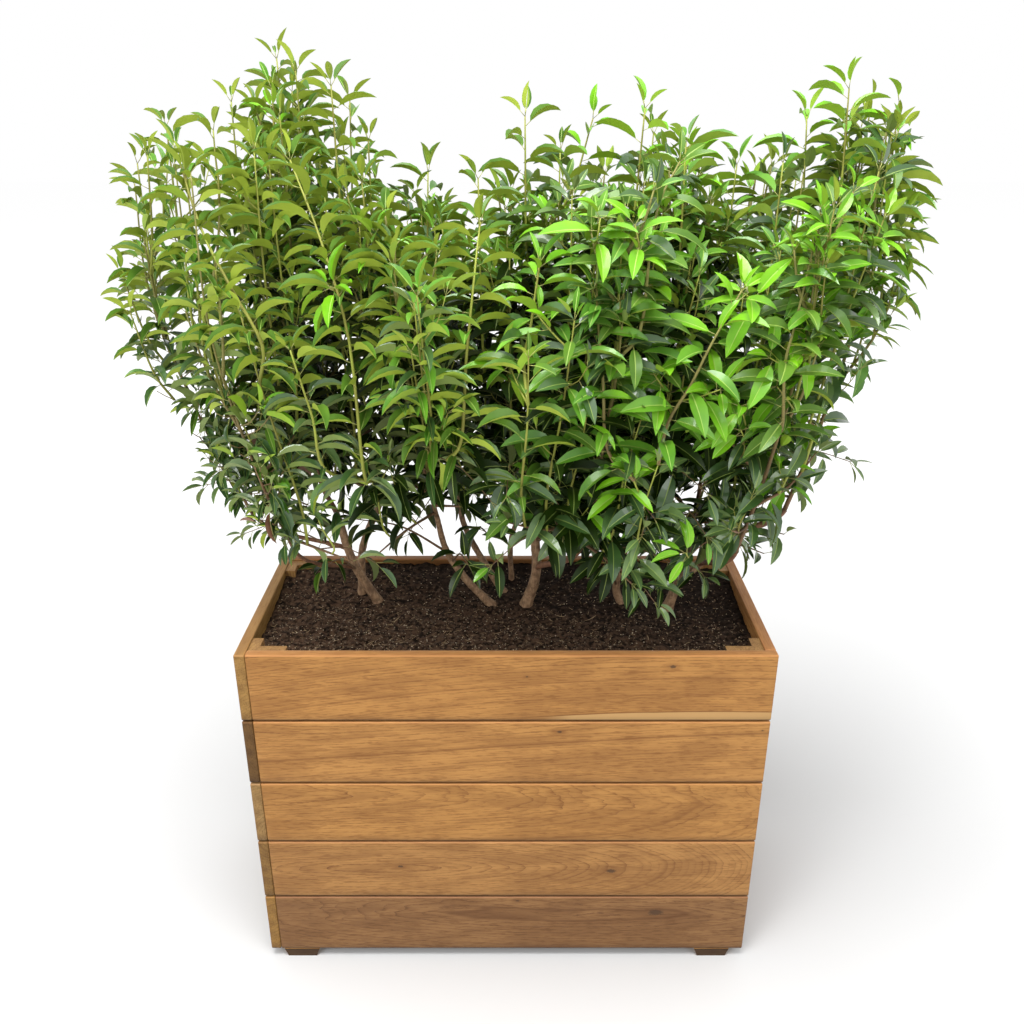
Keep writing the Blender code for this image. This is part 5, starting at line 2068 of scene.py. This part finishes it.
face_pattern, finish_pattern = leaf_faces()
for name, tone in TONES.items():
    rib = tuple(a + (b - a) * MIDRIB_PALER for a, b in zip(tone.light, MIDRIB_COLOUR))
    back = tone.back
    face = (tone.light, tone.deep, 14.0, (0.30, 0.42), LEAF_WAVE, 70.0, tone.gloss, tone.shine, 0.0)
    materials = [
        mottled_material(f"{name} leaf face", *face),
        mottled_material(f"{name} leaf midrib", rib, scaled(rib, MIDRIB_DEEPER), 30.0, (0.45, 0.55)),
        mottled_material(f"{name} leaf back", back, scaled(back, BACK_DEEPER), 20.0, (0.50, 0.65)),
    ]
    every = numpy.flatnonzero(fits & (tones == name))
    print(len(every), name, "leaves")
    for part, start in enumerate(range(0, len(every), MOST_LEAVES_IN_A_PIECE), 1):
        chosen = every[start:start + MOST_LEAVES_IN_A_PIECE]
        mesh = leaf_mesh(f"{name} leaves", chosen)
        add_piece(f"leaves_{name}_{part}", mesh, materials, "foliage", list(MASSES))
        mesh.polygons.foreach_set("material_index", finish_pattern * len(chosen))

# %% [markdown]
# ## Twigs and leaf stalks
#
# Twigs are slim tubes. Most kinds have red-brown bark that turns olive higher up. Risers, spurs,
# fresh sprays and top shoots are yellow-green, as growth of the year is, and so are the strong
# front shoots but for those at the right. Stalks are the thinnest: three-sided, from inside the
# twig to the base of the leaf.

# %% Twig and stalk meshes
BROWN_KINDS = ("leader", "shoot", "low", "skirt", "sprig", "short")
BROWN_RIGHT_OF = 0.10
STALK_SIDES = 3
STALK_SINKS = 0.002


def twig_tube(twig):
    radii = taper(twig.path, twig.first, twig.last)
    return tube(twig.path, twig.directions, lambda index, _angle: radii[index], KINDS[twig.kind].sides)


brown_twigs = Bundle()
green_twigs = Bundle()
for twig in twigs:
    brown = twig.kind in BROWN_KINDS or (twig.kind == "front" and twig.path[0].x > BROWN_RIGHT_OF)
    bundle = brown_twigs if brown else green_twigs
    bundle.add(*twig_tube(twig))
stalks = Bundle()
for index in numpy.flatnonzero(fits):
    root = Vector(roots[index])
    tip = Vector(corners[index][0])
    direction = (tip - root).normalized()
    path = [root, tip + STALK_SINKS * direction]
    stalks.add(*tube(path, [direction] * 2, lambda _index, _angle: STALK_RADIUS, STALK_SIDES))

YOUNG_BARK = ((0.190, 0.100, 0.045), (0.120, 0.065, 0.030), (0.240, 0.160, 0.070), (0.200, 0.190, 0.045))
brown_finish = bark_material("young red bark", *YOUNG_BARK)
green_finish = mottled_material(
    "yellow green twig", (0.300, 0.345, 0.052), (0.200, 0.190, 0.036), 9.0, (0.45, 0.60), 0.0002, 500.0
)
stalk_finish = mottled_material(
    "pale leaf stalk", (0.360, 0.380, 0.110), (0.260, 0.250, 0.080), 20.0, (0.45, 0.60), 0.0002, 700.0
)
add_piece("twigs_brown", brown_twigs.mesh("brown twigs"), [brown_finish], "foliage", list(MASSES))
add_piece("twigs_green", green_twigs.mesh("green twigs"), [green_finish], "foliage", list(MASSES))
add_piece("leaf_stalks", stalks.mesh("leaf stalks"), [stalk_finish], "foliage", list(MASSES))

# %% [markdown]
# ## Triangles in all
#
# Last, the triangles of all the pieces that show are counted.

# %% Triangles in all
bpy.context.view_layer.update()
triangles = sum(sum(len(face.vertices) - 2 for face in piece.data.polygons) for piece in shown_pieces())
print("about", triangles, "triangles in all")
